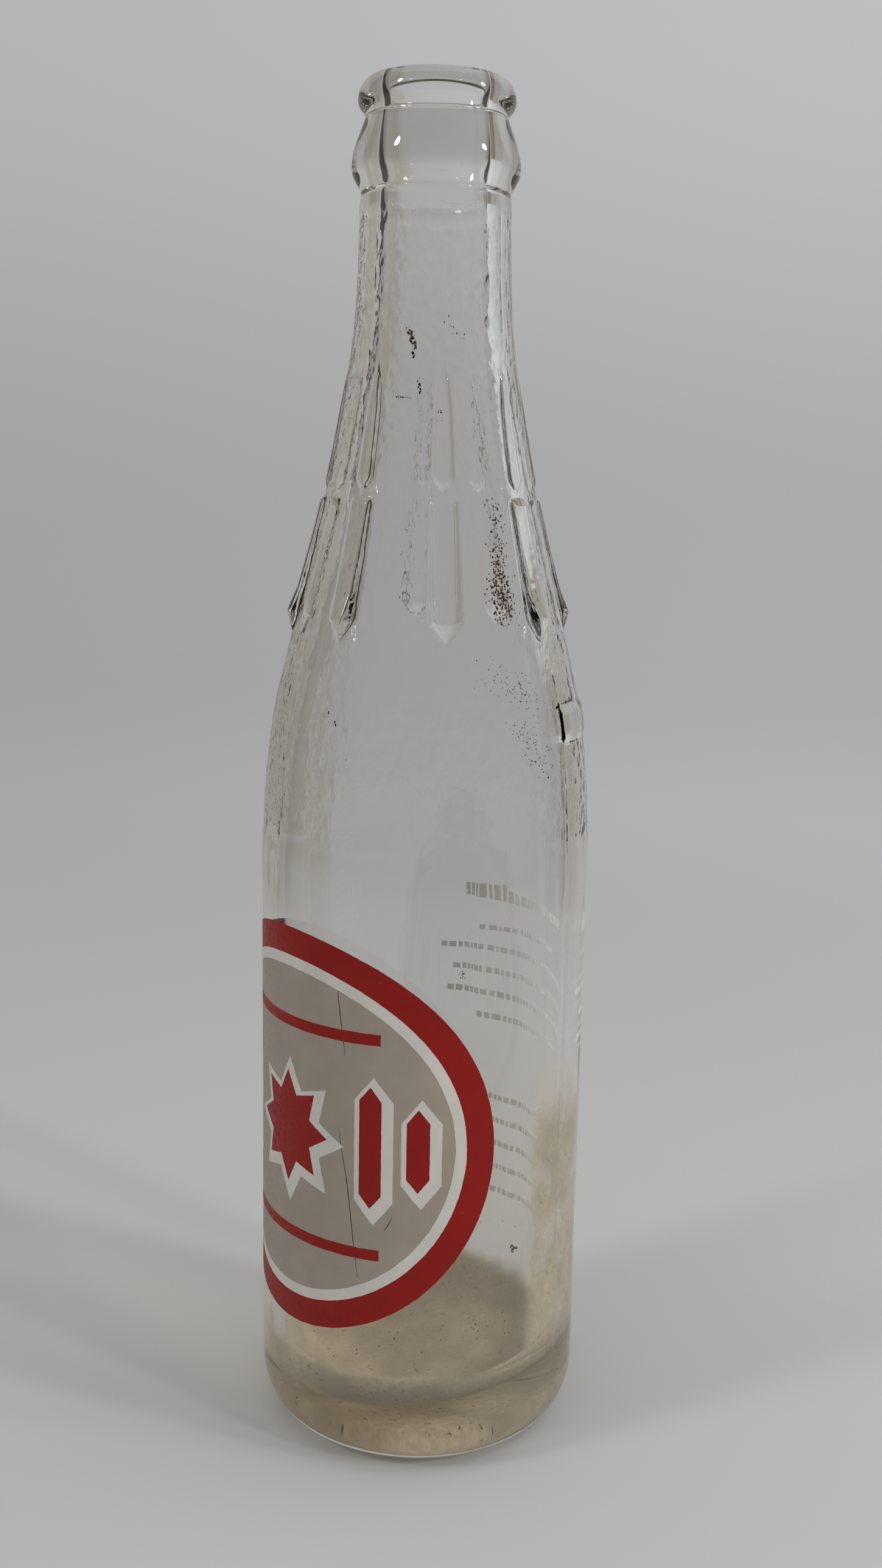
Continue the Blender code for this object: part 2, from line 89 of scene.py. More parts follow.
# Crown finish, measured down from the lip
NECK_DROP = 20.8 * MM
NECK_WAIST = 0.08 * MM
NECK_WAIST_RISE = 1.0 * MM
RING_FOOT_DROP = 18.8 * MM
RING_FOOT_RADIUS = 12.7 * MM
RING_DROP = 14.1 * MM
GROOVE_DROP = 6.3 * MM
BEAD_DROP = 3.7 * MM
RING_RADIUS = 14.34 * MM
GROOVE_RADIUS = 12.1 * MM
BEAD_RADIUS = 13.35 * MM
LIP_ROUND = 2.85 * MM
RING_UNDER_SHARES = ((0.0, 0.0), (0.20, 0.18), (0.43, 0.57), (0.64, 0.86), (0.85, 0.98), (1.0, 1.0))
RING_OVER_SHARES = ((0.0, 0.0), (0.17, 0.06), (0.43, 0.30), (0.69, 0.63), (0.93, 0.94), (1.0, 1.0))
BEAD_UNDER_SHARES = ((0.0, 0.0), (0.20, 0.14), (0.50, 0.62), (0.75, 0.90), (1.0, 1.0))
SHOULDER_TOP = HEIGHT - NECK_DROP
SHOULDER_RISE = SHOULDER_TOP - SHOULDER_FOOT

# Inside; the stations of the bore are its drop from the lip and its share of the swell
NECK_WALL = 4.2 * MM
FLOOR_DOME = 1.2 * MM
FLOOR_SHARES = (0.8, 0.6, 0.4, 0.2, 0.0)
INNER_HEEL_RADIUS = 8 * MM
BORE_RADIUS = 8.6 * MM
BORE_SWELL = 0.5 * MM
BORE_STATIONS = (
    (GROOVE_DROP, 0.0), ((GROOVE_DROP + RING_DROP) / 2, 0.6), (RING_DROP, 1.0), (RING_FOOT_DROP, 0.4),
)
LAND_ROUND = 1.6 * MM

# Ribs: height, half width at the foot and height above the glass, from the point at the top downwards
RIB_COUNT = 8
RIB_STEP = math.tau / RIB_COUNT
RIB_OFFSET = math.radians(14)
BLADE = (
    (193.5 * MM, 0.0, 0.0), (190.3 * MM, 0.88 * MM, 0.2 * MM), (185.8 * MM, 1.4 * MM, 0.32 * MM),
    (180.2 * MM, 1.61 * MM, 0.36 * MM), (174.0 * MM, 1.75 * MM, 0.4 * MM), (171.9 * MM, 0.0, 0.0),
)
BAR = (
    (170.95 * MM, 2.3 * MM, 0.55 * MM), (163.1 * MM, 2.52 * MM, 0.71 * MM),
    (155.2 * MM, 2.79 * MM, 1.05 * MM), (151.2 * MM, 3.0 * MM, 1.7 * MM), (147.4 * MM, 0.0, 0.0),
)
RIB_FLANK = 0.95
RIB_ROUNDING = 0.32 * MM
BAR_END_RUN = 0.5 * MM

# Heights between which columns bend to follow the ribs, which of them follow what, and their least distances
RIB_LOW = 142 * MM
RIB_HIGH = 198 * MM
CREST_COLUMN = 3
FOOT_COLUMN = 5
LAST_COLUMN = 12
LEAST_CREST = 0.5 * MM
LEAST_FOOT = 0.9 * MM

# Plain raised tablet
TABLET_ANGLE = math.radians(125)
TABLET_LENGTH = 17 * MM
TABLET_HEIGHT = 6.6 * MM
TABLET_PROUD = 0.32 * MM
TABLET_CORNER = 1.2 * MM
TABLET_EDGE = 1.1 * MM
TABLET_PLACE = 133.2 * MM

# Mould seams: the columns beside a seam, with their distances from it, and where it fades
SEAM_ANGLE = math.radians(109)
SEAM_PROUD = 0.1 * MM
SEAM_WIDTH = 0.3 * MM
SEAM_FOOT = 14 * MM
SEAM_FOOT_FADE = 4 * MM
SEAM_TOP = (216 * MM, 219 * MM)
SEAM_COLUMNS = ((0, 0.0), (1, 0.22 * MM), (2, 0.5 * MM))
SEAM_LAST_COLUMN = 4

# Stipple: where it fades, size and grain of the waves of its edge, share that is lost on what is raised
STIPPLE_FOOT = 112 * MM
STIPPLE_FOOT_FADE = 1.4 * MM
STIPPLE_TOP = 218.5 * MM
STIPPLE_TOP_FADE = 0.8 * MM
STIPPLE_TOP_ROW = 0.3 * MM
STIPPLE_EDGE_WAVES = ((1.2 * MM, 5 * MM), (0.5 * MM, 1.7 * MM))
STIPPLE_LOST = 0.85
STIPPLE_LOST_PROUD = (0.1 * MM, 0.3 * MM)
STIPPLE_GRAIN = 0.95 * MM
STIPPLE_STRETCH = 0.6
STIPPLE_STEP = 0.11 * MM

# Uneven inside: length of its waves across and up, where they stop, and where the tilt of the floor fades
INNER_WAVE = 9 * MM
INNER_WAVE_HEIGHT = 24 * MM
INNER_WAVE_TOP = 235 * MM
AXIS_REACH = 1 * MM
TILT_FADE = (18 * MM, 44 * MM)
OUTER_SKIN = 1.5 * MM
LAND_MARGIN = 0.1 * MM

# Fineness of the glass: columns, rows, and the steps of each curve of its outline
SEGMENTS = 288
COLUMN = 2 * math.pi / SEGMENTS
ROW = 0.65 * MM
MERGE = 0.002 * MM
PUSH_UP_STEPS = 9
BEARING_STEPS = 3
HEEL_STEPS = 16
PANEL_STEPS = 18
UNDER_STEPS = 2
OVER_STEPS = 3
LIP_STEPS = 9
LAND_STEPS = 5
INNER_SHOULDER_STEPS = 27
INNER_WALL_STEPS = 12
INNER_HEEL_STEPS = 10

# Front label
LABEL_CENTRE = 61.6 * MM
LABEL_HALF_TURN = math.radians(76.9)
LABEL_CLEARANCE = 0.3 * MM
FRAME_WIDTH = 5.0 * MM
KEYLINE_WIDTH = 2.0 * MM
MOTIF_MARGIN = 7.3 * MM
OVERLAP = 0.14 * MM
OVAL_STEPS = 160

# Star, bars and rules, as shares of the half width or half height of the panel's middle
STAR_POINTS = 8
STAR_VALLEY = 0.635
STAR_WIDTH = 0.30
STAR_HEIGHT = 0.36
BARS = {"inner": (0.557, 0.379), "outer": (0.813, 0.26)}
BAR_WIDTH = 0.122
BAR_POINT = 0.62
EDGE_WIDTH = 0.046
EDGE_SHIFT = 0.018
RULE_LENGTH = 0.61
RULE_PLACE = 0.672
RULE_WIDTH = 0.0345

# Print: how ragged its edges are, in what steps and strips, how deep it starts, how far each layer rises
RAGGED = 0.05 * MM
RAGGED_WAVES = ((1.0, 0.7 * MM), (0.8, 2.6 * MM))
PRINT_STEP = 0.5 * MM
PRINT_STRIP = 1.3 * MM
PRINT_SNAP = 0.001 * MM
PRINT_SINK = 0.02 * MM
PRINT_LAYER = 0.012 * MM
PRINT_SHARP = math.radians(40)
PRINT_SEED_STEP = 7.0

# Back print: rows of strokes, their least and extra length, the gaps, and their sink and rise
BACK_ANGLE = math.pi
BACK_CLEARANCE = 0.5 * MM
STROKE_HEIGHT = 0.72
STROKE_LENGTH = 0.6
STROKE_EXTRA = 1.1
STROKE_GAP = 0.45 * MM
STROKE_END = 1.2 * MM
STROKE_SINK = 0.01 * MM
STROKE_RISE = 0.03 * MM
STROKE_SEED = 40
STROKE_SEED_STEP = 3.0

# Dried marks on the inner wall: (angle, height in mm) of the start and end, count, spread in mm, size in mm
BROWN_MARKS = (
    ((29.8, 198.5), (37.5, 195.4), 26, (0.22, 0.3), 0.42),
    ((64.9, 200.5), (75.7, 196.8), 9, (0.35, 0.4), 0.28),
    ((92.6, 170.6), (92.2, 162.9), 60, (0.6, 0.8), 0.30),
    ((90.5, 163.0), (90.0, 157.0), 90, (0.9, 0.8), 0.32),
    ((88.5, 157.0), (90.5, 151.5), 190, (1.25, 0.9), 0.36),
    ((77.0, 142.5), (102.9, 136.5), 110, (1.6, 1.5), 0.18),
    ((90.8, 133.1), (103.8, 125.7), 90, (1.4, 1.3), 0.20),
    ((89.5, 41.2), (91.0, 39.6), 22, (0.35, 0.4), 0.4),
    ((66.5, 92.2), (66.5, 91.6), 12, (0.3, 0.35), 0.3),
    ((0.0, 26.0), (360.0, 26.0), 130, (3.0, 2.6), 0.24),
)
DARK_MARKS = (
    ((31.5, 197.6), (36.5, 195.6), 8, (0.15, 0.2), 0.40),
    ((35.7, 194.4), (36.3, 193.7), 6, (0.12, 0.15), 0.42),
    ((40.8, 190.3), (43.0, 188.0), 12, (0.12, 0.2), 0.40),
    ((24.4, 187.3), (35.0, 187.1), 15, (0.15, 0.10), 0.26),
    ((58.8, 185.7), (59.3, 183.6), 6, (0.03, 0.2), 0.2),
    ((9.1, 135.0), (10.9, 134.7), 2, (0.05, 0.05), 0.45),
    ((13.6, 133.6), (14.1, 133.0), 2, (0.05, 0.05), 0.45),
    ((20.7, 127.7), (20.9, 127.5), 1, (0.02, 0.02), 0.4),
    ((78.0, 198.0), (79.5, 196.8), 3, (0.15, 0.2), 0.25),
    ((89.0, 155.5), (91.0, 151.5), 40, (1.1, 0.8), 0.26),
)
MARKS_SEED = 7

# Flakes: corners, thickness, depth in the glass, and how uneven and narrow they are
FLAKE_CORNERS = 7
FLAKE_THICK = 0.07 * MM
FLAKE_SINK = 0.03 * MM
FLAKE_LEAST = 0.55
FLAKE_EXTRA = 0.7
FLAKE_NARROW = 0.7

# Dust: both sides of each skin, measured inwards from the inner surface and up from the underside
FILM_SKINS = (-0.06 * MM, 0.03 * MM)
FILM_REACH = 58 * MM
FILM_ROWS = 29
FILM_HEEL_STEPS = 12
BASE_SKINS = (0.02 * MM, 0.08 * MM)
BASE_POINTS = 20
DUST_SEGMENTS = 96

# Middle of the stain that runs up the inner wall
STAIN_ANGLE = math.radians(120)

# Fine cracks in the front label: angle in degrees and height in mm along each
CRACKS = (
    ((22.7, 92.0), (23.2, 88.5), (24.2, 84.5), (25.4, 80.5), (26.0, 77.5)),
    ((23.8, 64.4), (25.2, 60.0), (26.8, 55.8), (28.0, 51.4), (29.2, 46.0), (30.4, 41.0), (31.4, 37.4)),
    ((40.6, 46.9), (41.8, 47.9), (43.2, 49.4)),
)
CRACK_HALF = 0.07 * MM
CRACK_END = 0.25
CRACK_SINK = -0.034 * MM
CRACK_RISE = 0.052 * MM
CRACK_RAGGED = 0.012 * MM

# Gloss of the materials
GLASS_IOR = 1.52
ENAMEL_SPECULAR = 0.22
FILM_SPECULAR = 0.1
FLOOR_SPECULAR = 0.2

# Cards round the stage, seen only in glass and gloss, where they draw the edges: azimuths of both
# ends and width of the soft edge in degrees, then half of what each does to the far wall and to the far floor
PLAIN = (0.5, 0.5, 0.5)
DARK = (0.06, 0.05, 0.043)
WARM = (0.43, 0.405, 0.355)
BROWN = (0.26, 0.22, 0.165)
PALE = (0.45, 0.43, 0.385)
CARDS = (
    (-180, -164, 5, (0.58, 0.585, 0.57), WARM), (-112, -98, 5, PALE, WARM), (-96, -89, 1, PALE, BROWN),
    (-87, -73, 1, PALE, WARM), (-67, -51, 2, DARK, DARK), (62, 72, 2, DARK, DARK), (152, 165, 2, DARK, DARK),
    (170, 180, 2, (0.66, 0.67, 0.65), BROWN),
)

# Places in a card of what it does to the wall and to the floor, and the rays that see the backdrop
WALL_PART = 3
FLOOR_PART = 4
SEEN_RAYS = ["Is Camera Ray", "Is Glossy Ray", "Is Transmission Ray"]

# Lamps: azimuth from the camera's, elevation, distance, width, height, power, and whether glass shows them
LAMPS = {
    "left_lamp": (-62, 34, 1.3, 0.34, 0.40, 3.4, False),
    "right_lamp": (51, 26, 1.3, 0.13, 0.22, 4.6, False),
    "side_lamp": (65, 26, 1.3, 0.13, 0.22, 4.6, False),
    "wide_lamp": (90, 48, 0.9, 0.8, 0.8, 1.8, False),
    "left_glint": (-60, 36, 1.2, 0.13, 0.24, 1.6, True),
    "right_glint": (70, 40, 0.39, 0.036, 0.065, 0.15, True),
}

# Camera, worked out from the outline of the bottle in the photograph
CAMERA_AZIMUTH = math.radians(52.3)
CAMERA_DISTANCE = 292.2 * MM
CAMERA_HEIGHT = 175.0 * MM
CAMERA_PITCH = math.radians(10.687)
CAMERA_YAW = math.radians(0.524)
CAMERA_ROLL = math.radians(1.037)
CAMERA_LENS = 37.68
SENSOR = 36.0


def blend_between(low, high, value):
    """0 below low, 1 above high and a smooth step between them."""
    share = min(1.0, max(0.0, (value - low) / (high - low)))
    return share * share * (3.0 - 2.0 * share)


def soft_min(a, b, rounding):
    """The smaller of two values, rounded where they cross."""
    share = max(0.0, rounding - abs(a - b)) / rounding
    return min(a, b) - share * share * rounding / 4.0


def around(angle, radius, height):
    """The point at an angle round the bottle, a distance from its axis and a height."""
    return Vector((math.sin(angle) * radius, -math.cos(angle) * radius, height))


def smooth_through(points, samples):
    """Run a Catmull-Rom curve through plane points, with a number of samples on each span."""
    padded = [points[0]] + list(points) + [points[-1]]
    curve = []
    for before, start, end, after in zip(padded, padded[1:], padded[2:], padded[3:]):
        for index in range(samples):
            t = index / samples
            weights = (
                -0.5 * t + t * t - 0.5 * t ** 3,
                1.0 - 2.5 * t * t + 1.5 * t ** 3,
                0.5 * t + 2.0 * t * t - 1.5 * t ** 3,
                -0.5 * t * t + 0.5 * t ** 3,
            )
            curve.append(tuple(
                sum(weight * knot[axis] for weight, knot in zip(weights, (before, start, end, after)))
                for axis in (0, 1)
            ))
    curve.append(points[-1])
    return curve


SHOULDER_CURVE = smooth_through(SHOULDER_SHARES, CURVE_SAMPLES)


def look_up(table, key):
    """Straight-line value at a key in rows of (key, value, ...) sorted by key."""
    if key <= table[0][0]:
        return table[0][1:]
    for low, high in zip(table, table[1:]):
        if key <= high[0]:
            share = (key - low[0]) / (high[0] - low[0])
            return tuple(a + (b - a) * share for a, b in zip(low[1:], high[1:]))
    return table[-1][1:]


def shoulder_radius(height):
    """Outer radius of the glass from the shoulder's foot to the top of the neck."""
    share = (height - SHOULDER_FOOT) / SHOULDER_RISE
    return NECK_RADIUS + (SWELL_RADIUS - NECK_RADIUS) * look_up(SHOULDER_CURVE, share)[0]


def spaced(start, end, steps):
    """Even steps from a start to an end, without the start."""
    return [start + (end - start) * index / steps for index in range(1, steps + 1)]


def arc(centre, radius, rise, start, end, steps):
    """Points on an elliptical arc in the turned outline, without its first point."""
    return [
        (centre[0] + radius * math.cos(angle), centre[1] + rise * math.sin(angle))
        for angle in map(math.radians, spaced(start, end, steps))
    ]


def curve_between(start, end, shares, samples):
    """A smooth curve between two corners of the outline, through shares of the way up and out."""
    return [
        (start[0] + out * (end[0] - start[0]), start[1] + up * (end[1] - start[1]))
        for up, out in smooth_through(shares, samples)[1:]
    ]


def shoulder_rows():
    """Heights of the rows of the shoulder, with one on each level where a rib or the tablet turns."""
    half = TABLET_HEIGHT / 2
    levels = {SHOULDER_FOOT, SHOULDER_TOP, TABLET_PLACE - half, TABLET_PLACE + half, BAR[0][0] - BAR_END_RUN}
    levels |= {station[0] for station in BLADE + BAR}
    levels |= {STIPPLE_TOP - STIPPLE_TOP_ROW * index for index in range(3)}
    levels = sorted(levels)
    rows = []
    for low, high in zip(levels, levels[1:]):
        count = max(1, math.ceil((high - low) / ROW))
        rows += [low + (high - low) * index / count for index in range(count)]
    return rows + [levels[-1]]


def floor_points(flat, floor):
    """The domed inner floor from near its edge to the axis."""
    return [(flat * share, floor + FLOOR_DOME * (1 - share * share)) for share in FLOOR_SHARES]


def glass_outline(wall, floor):
    """The turned cross-section, from the push-up round the outside and down the inside."""
    bearing = BODY_RADIUS - HEEL_RUN
    points = [(0.0, PUSH_UP)]
    points += arc((0.0, 0.0), bearing - BEARING_WIDTH, PUSH_UP, 90, PUSH_UP_END, PUSH_UP_STEPS)
    points += arc((bearing, BEARING_ROUND), -BEARING_WIDTH, BEARING_ROUND, 0, -90, BEARING_STEPS)[:-1]
    points.append((bearing - BEARING_WIDTH / 2, 0.0))
    points += arc((bearing, HEEL_HEIGHT), HEEL_RUN, HEEL_HEIGHT, -90, 0, HEEL_STEPS)
    points += [(BODY_RADIUS, height) for height in spaced(HEEL_HEIGHT, PANEL_TOP, PANEL_STEPS)]
    for share in SWELL_SHARES:
        points.append((BODY_RADIUS + SWELL * share, PANEL_TOP + (SHOULDER_FOOT - PANEL_TOP) * share))
    points += [(shoulder_radius(height), height) for height in shoulder_rows()]
    foot = (RING_FOOT_RADIUS, HEIGHT - RING_FOOT_DROP)
    ring = (RING_RADIUS, HEIGHT - RING_DROP)
    groove = (GROOVE_RADIUS, HEIGHT - GROOVE_DROP)
    bead = (BEAD_RADIUS, HEIGHT - BEAD_DROP)
    points += [(NECK_RADIUS - NECK_WAIST, SHOULDER_TOP + NECK_WAIST_RISE), foot]
    points += curve_between(foot, ring, RING_UNDER_SHARES, UNDER_STEPS)
    points += curve_between(ring, groove, RING_OVER_SHARES, OVER_STEPS)
    points += curve_between(groove, bead, BEAD_UNDER_SHARES, UNDER_STEPS)
    points += arc((BEAD_RADIUS - LIP_ROUND, bead[1]), LIP_ROUND, BEAD_DROP, 0, 90, LIP_STEPS)
    land = BORE_RADIUS + LAND_ROUND
    points.append((land, HEIGHT))
    points += arc((land, HEIGHT - LAND_ROUND), -LAND_ROUND, LAND_ROUND, 90, 0, LAND_STEPS)
    points += [(BORE_RADIUS + share * BORE_SWELL, HEIGHT - drop) for drop, share in BORE_STATIONS]
    for index in range(INNER_SHOULDER_STEPS + 1):
        share = 1 - index / INNER_SHOULDER_STEPS
        height = SHOULDER_FOOT + share * SHOULDER_RISE
        points.append((shoulder_radius(height) - wall - (NECK_WALL - wall) * share, height))
    inner = BODY_RADIUS - wall
    flat = inner - INNER_HEEL_RADIUS
    heel = floor + INNER_HEEL_RADIUS
    points += [(inner, height) for height in (PANEL_TOP, *spaced(PANEL_TOP, heel, INNER_WALL_STEPS))]
    points += arc((flat, heel), INNER_HEEL_RADIUS, INNER_HEEL_RADIUS, 0, -90, INNER_HEEL_STEPS)
    return points + floor_points(flat, floor)


def rib_profile(stations, height):
    """Foot half width and height above the glass of one tier of a rib at a height up the bottle."""
    if not stations[-1][0] <= height <= stations[0][0]:
        return 0.0, 0.0
    return look_up(stations[::-1], height)


def rib_lift(sideways, height):
    """How far a rib lifts the surface, at a distance sideways from its middle."""
    lift = 0.0
    for stations in (BLADE, BAR):
        half, proud = rib_profile(stations, height)
        if stations is BAR:
            proud = min(proud, max(0.0, (BAR[0][0] - height) / BAR_END_RUN * BAR[0][2]))
        if proud > 0.0 and sideways < half:
            lift = max(lift, soft_min(proud, (half - sideways) / RIB_FLANK, RIB_ROUNDING))
    return lift


def rib_column(column, height, radius):
    """Sideways place of a column near a rib, so that the columns follow the rib's foot and crest."""
    natural = COLUMN * radius
    halves, prouds = zip(*(rib_profile(stations, height) for stations in (BLADE, BAR)))
    foot = max(*halves, LEAST_FOOT)
    crest = max(max(halves) - max(prouds) * RIB_FLANK, LEAST_CREST)
    knots = ((0, 0.0), (CREST_COLUMN, crest), (FOOT_COLUMN, foot), (LAST_COLUMN, LAST_COLUMN * natural))
    near = blend_between(RIB_LOW, BAR[-1][0], height) * (1 - blend_between(BLADE[0][0], RIB_HIGH, height))
    return column * natural * (1 - near) + look_up(knots, column)[0] * near


def tablet_lift(sideways, height):
    """How far the tablet lifts the surface."""
    reach_x = abs(sideways) - TABLET_LENGTH / 2 + TABLET_CORNER
    reach_z = abs(height - TABLET_PLACE) - TABLET_HEIGHT / 2 + TABLET_CORNER
    outside = math.hypot(max(reach_x, 0.0), max(reach_z, 0.0)) - TABLET_CORNER
    return TABLET_PROUD * blend_between(0.0, TABLET_EDGE, -outside)


def shape_outside(vert, stipple, layer):
    """Move one outer vertex of the turned glass: ribs, tablet, seams and stipple."""
    x, y, height = vert.co
    radius = math.hypot(x, y)
    angle = math.atan2(x, -y)
    lift = 0.0
    nearest = RIB_OFFSET + round((angle - RIB_OFFSET) / RIB_STEP) * RIB_STEP
    from_rib = angle - nearest
    if RIB_LOW < height < RIB_HIGH:
        column = abs(from_rib) / COLUMN
        if column < LAST_COLUMN:
            sideways = rib_column(column, height, radius)
            angle = nearest + math.copysign(sideways / radius, from_rib)
            lift = rib_lift(sideways, height)
    elif height > SEAM_FOOT:
        for seam in (SEAM_ANGLE, SEAM_ANGLE - math.pi):
            column = abs(angle - seam) / COLUMN
            if column < SEAM_LAST_COLUMN:
                knots = (*SEAM_COLUMNS, (SEAM_LAST_COLUMN, SEAM_LAST_COLUMN * COLUMN * radius))
                sideways = look_up(knots, column)[0]
                angle = seam + math.copysign(sideways / radius, angle - seam)
                fade = blend_between(SEAM_FOOT, SEAM_FOOT + SEAM_FOOT_FADE, height)
                fade *= 1 - blend_between(*SEAM_TOP, height)
                lift += SEAM_PROUD * math.exp(-(sideways / SEAM_WIDTH) ** 2) * fade
    turn = (angle - TABLET_ANGLE + math.pi) % math.tau - math.pi
    tablet = tablet_lift(turn * radius, height) if abs(height - TABLET_PLACE) < TABLET_HEIGHT else 0.0
    raised = max(lift, tablet)
    place = around(angle, radius, height)
    uneven = sum(size * noise.noise(place / grain) for size, grain in STIPPLE_EDGE_WAVES)
    rough = blend_between(STIPPLE_FOOT, STIPPLE_FOOT + STIPPLE_FOOT_FADE, height + uneven)
    rough *= 1 - blend_between(STIPPLE_TOP - STIPPLE_TOP_FADE, STIPPLE_TOP, height + 0.4 * uneven)
    rough *= 1 - STIPPLE_LOST * blend_between(*STIPPLE_LOST_PROUD, raised)
    drawn = Vector((place.x, place.y, place.z * STIPPLE_STRETCH)) / STIPPLE_GRAIN
    grain = noise.noise(drawn) + 0.6 * noise.noise(drawn * 2.1)
    radius += raised - rough * (STIPPLE_STEP + stipple * (0.3 + 0.7 * grain))
    vert[layer] = rough
    vert.co = around(angle, radius, height)


def shape_inside(place, waviness, tilt):
    """Where a point of the plain turned inside goes: the wall is a little uneven and the floor is tilted."""
    x, y, height = place
    radius = math.hypot(x, y)
    if height > INNER_WAVE_TOP or radius < AXIS_REACH:
        wave = 0.0
    else:
        spot = Vector((x / INNER_WAVE, y / INNER_WAVE, height / INNER_WAVE_HEIGHT))
        wave = waviness * (noise.noise(spot) + 0.4 * noise.noise(spot * 2.7))
    level = 1 - blend_between(*TILT_FADE, height)
    slope = tilt * (x * math.cos(CAMERA_AZIMUTH) + y * math.sin(CAMERA_AZIMUTH)) * level
    grow = 1 + wave / max(radius, AXIS_REACH)
    return Vector((x * grow, y * grow, height + slope))


def turn_outline(points, segments):
    """Spin an outline once round the bottle's axis, with a column on every rib's middle."""
    bm = bmesh.new()
    start = around(RIB_OFFSET, 1.0, 0.0)
    corners = [bm.verts.new((radius * start.x, radius * start.y, height)) for radius, height in points]
    edges = [bm.edges.new(pair) for pair in zip(corners, corners[1:])]
    bmesh.ops.spin(
        bm, geom=corners + edges, axis=(0, 0, 1), cent=(0, 0, 0), angle=math.tau, steps=segments,
        use_merge=True,
    )
    bmesh.ops.remove_doubles(bm, verts=bm.verts, dist=MERGE)
    bmesh.ops.recalc_face_normals(bm, faces=bm.faces)
    return bm


def raise_faces(bm, faces, offset):
    """Extrude faces and move what is raised; returns the raised vertices."""
    geometry = bmesh.ops.extrude_face_region(bm, geom=faces)["geom"]
    raised = [item for item in geometry if isinstance(item, bmesh.types.BMVert)]
    bmesh.ops.translate(bm, verts=raised, vec=offset)
    return raised


def mesh_of(name, bm):
    """Turn a finished bmesh into a mesh."""
    mesh = bpy.data.meshes.new(name)
    bm.to_mesh(mesh)
    bm.free()
    return mesh


def link(name, data):
    """Put an object with this data in the scene."""
    item = bpy.data.objects.new(name, data)
    bpy.context.collection.objects.link(item)
    return item


def add_piece(name, bm, material, nodes=(), sharp=None):
    """Make a finished piece that rides on the bottle's one body."""
    mesh = mesh_of(name, bm)
    mesh.materials.append(material)
    mesh.shade_smooth()
    if sharp is not None:
        mesh.set_sharp_from_angle(angle=sharp)
    piece = link(name, mesh)
    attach(piece, "root")
    if nodes:
        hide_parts(*nodes)


def shaded(colour, share):
    """A colour with every channel times a share."""
    return tuple(channel * share for channel in colour)


class Nodes:
    """A node tree with short ways to add nodes and join them."""

    def __init__(self, tree):
        self.tree = tree

    def add(self, kind, **values):
        """Add a node; values are its settings, or its inputs where a name is one."""
        node = self.tree.nodes.new("ShaderNode" + kind)
        for key, value in values.items():
            label = key.replace("_", " ")
            if label in node.inputs:
                self.feed(value, node.inputs[label])
            else:
                setattr(node, key, value)
        return node

    def feed(self, value, socket):
        """Join an output to a socket, or write a plain value on it; a colour gets its alpha."""
        if isinstance(value, bpy.types.NodeSocket):
            self.tree.links.new(value, socket)
        else:
            socket.default_value = (*value, 1) if socket.type == "RGBA" else value

    def place(self):
        """Object coordinates."""
        return self.add("TexCoord").outputs["Object"]

    def ramp(self, value, low, high, start=0.0, end=1.0):
        """Map a value from a range to another, held at the ends."""
        node = self.add(
            "MapRange", Value=value, interpolation_type="SMOOTHSTEP",
            From_Min=low, From_Max=high, To_Min=start, To_Max=end,
        )
        return node.outputs["Result"]

    def noise(self, size, detail=3.0, roughness=0.5, stretch=1.0):
        """Noise whose grains are about a size across, and longer upwards where stretch is under 1."""
        place = self.vector("MULTIPLY", self.place(), (1.0, 1.0, stretch))["Vector"]
        node = self.add("TexNoise", Vector=place, Scale=1.0 / size, Detail=detail, Roughness=roughness)
        return node.outputs["Fac"]

    def fill(self, node, *values):
        """Feed the first inputs of a node."""
        for value, socket in zip(values, node.inputs):
            self.feed(value, socket)
        return node

    def math(self, operation, a, b):
        """One sum on two values."""
        return self.fill(self.add("Math", operation=operation), a, b).outputs[0]

    def vector(self, operation, *vectors):
        """One sum on vectors, as both of its outputs."""
        return self.fill(self.add("VectorMath", operation=operation), *vectors).outputs

    def towards(self, vector, turn):
        """How far a vector reaches towards an angle round the bottle."""
        return self.vector("DOT_PRODUCT", vector, around(turn, 1.0, 0.0))["Value"]

    def mix(self, share, a, b):
        """Mix two colours, whose sockets stand after those for values and vectors."""
        node = self.add("Mix", data_type="RGBA")
        self.feed(share, node.inputs[0])
        self.feed(a, node.inputs[6])
        self.feed(b, node.inputs[7])
        return node.outputs[2]

    def bump(self, height, distance):
        """A bump normal."""
        return self.add("Bump", Height=height, Distance=distance, Strength=1.0).outputs["Normal"]

    def either(self, kinds):
        """1 for rays of any of the kinds that Light Path names."""
        path = self.add("LightPath")
        share = path.outputs[kinds[0]]
        for name in kinds[1:]:
            share = self.math("MAXIMUM", share, path.outputs[name])
        return share

    def join(self, share, a, b):
        """Mix two shaders."""
        return self.fill(self.add("MixShader"), share, a.outputs[0], b.outputs[0])


class Shader(Nodes):
    """A material with its Principled node at hand."""

    def __init__(self, name):
        self.material = bpy.data.materials.new(name)
        self.material.use_nodes = True
        super().__init__(self.material.node_tree)
        self.surface = self.tree.nodes["Principled BSDF"]
        self.output = self.tree.nodes["Material Output"]

    def set(self, **values):
        """Set or join inputs of the Principled node."""
        for key, value in values.items():
            self.feed(value, self.surface.inputs[key.replace("_", " ")])

    def finish(self, shader):
        """Make another shader the material's surface."""
        self.feed(shader.outputs[0], self.output.inputs["Surface"])

    def let_light_through(self, shader, share, aside=1.0):
        """Make another shader the surface; a share of lamp light goes straight through, less at a slant."""
        slant = self.add("LayerWeight", Blend=0.5).outputs["Facing"]
        let = self.mix(self.ramp(slant, 0.15, 0.7), share, shaded(share, aside))
        clear = self.add("BsdfTransparent", Color=let)
        self.finish(self.join(self.either(["Is Shadow Ray"]), shader, clear))


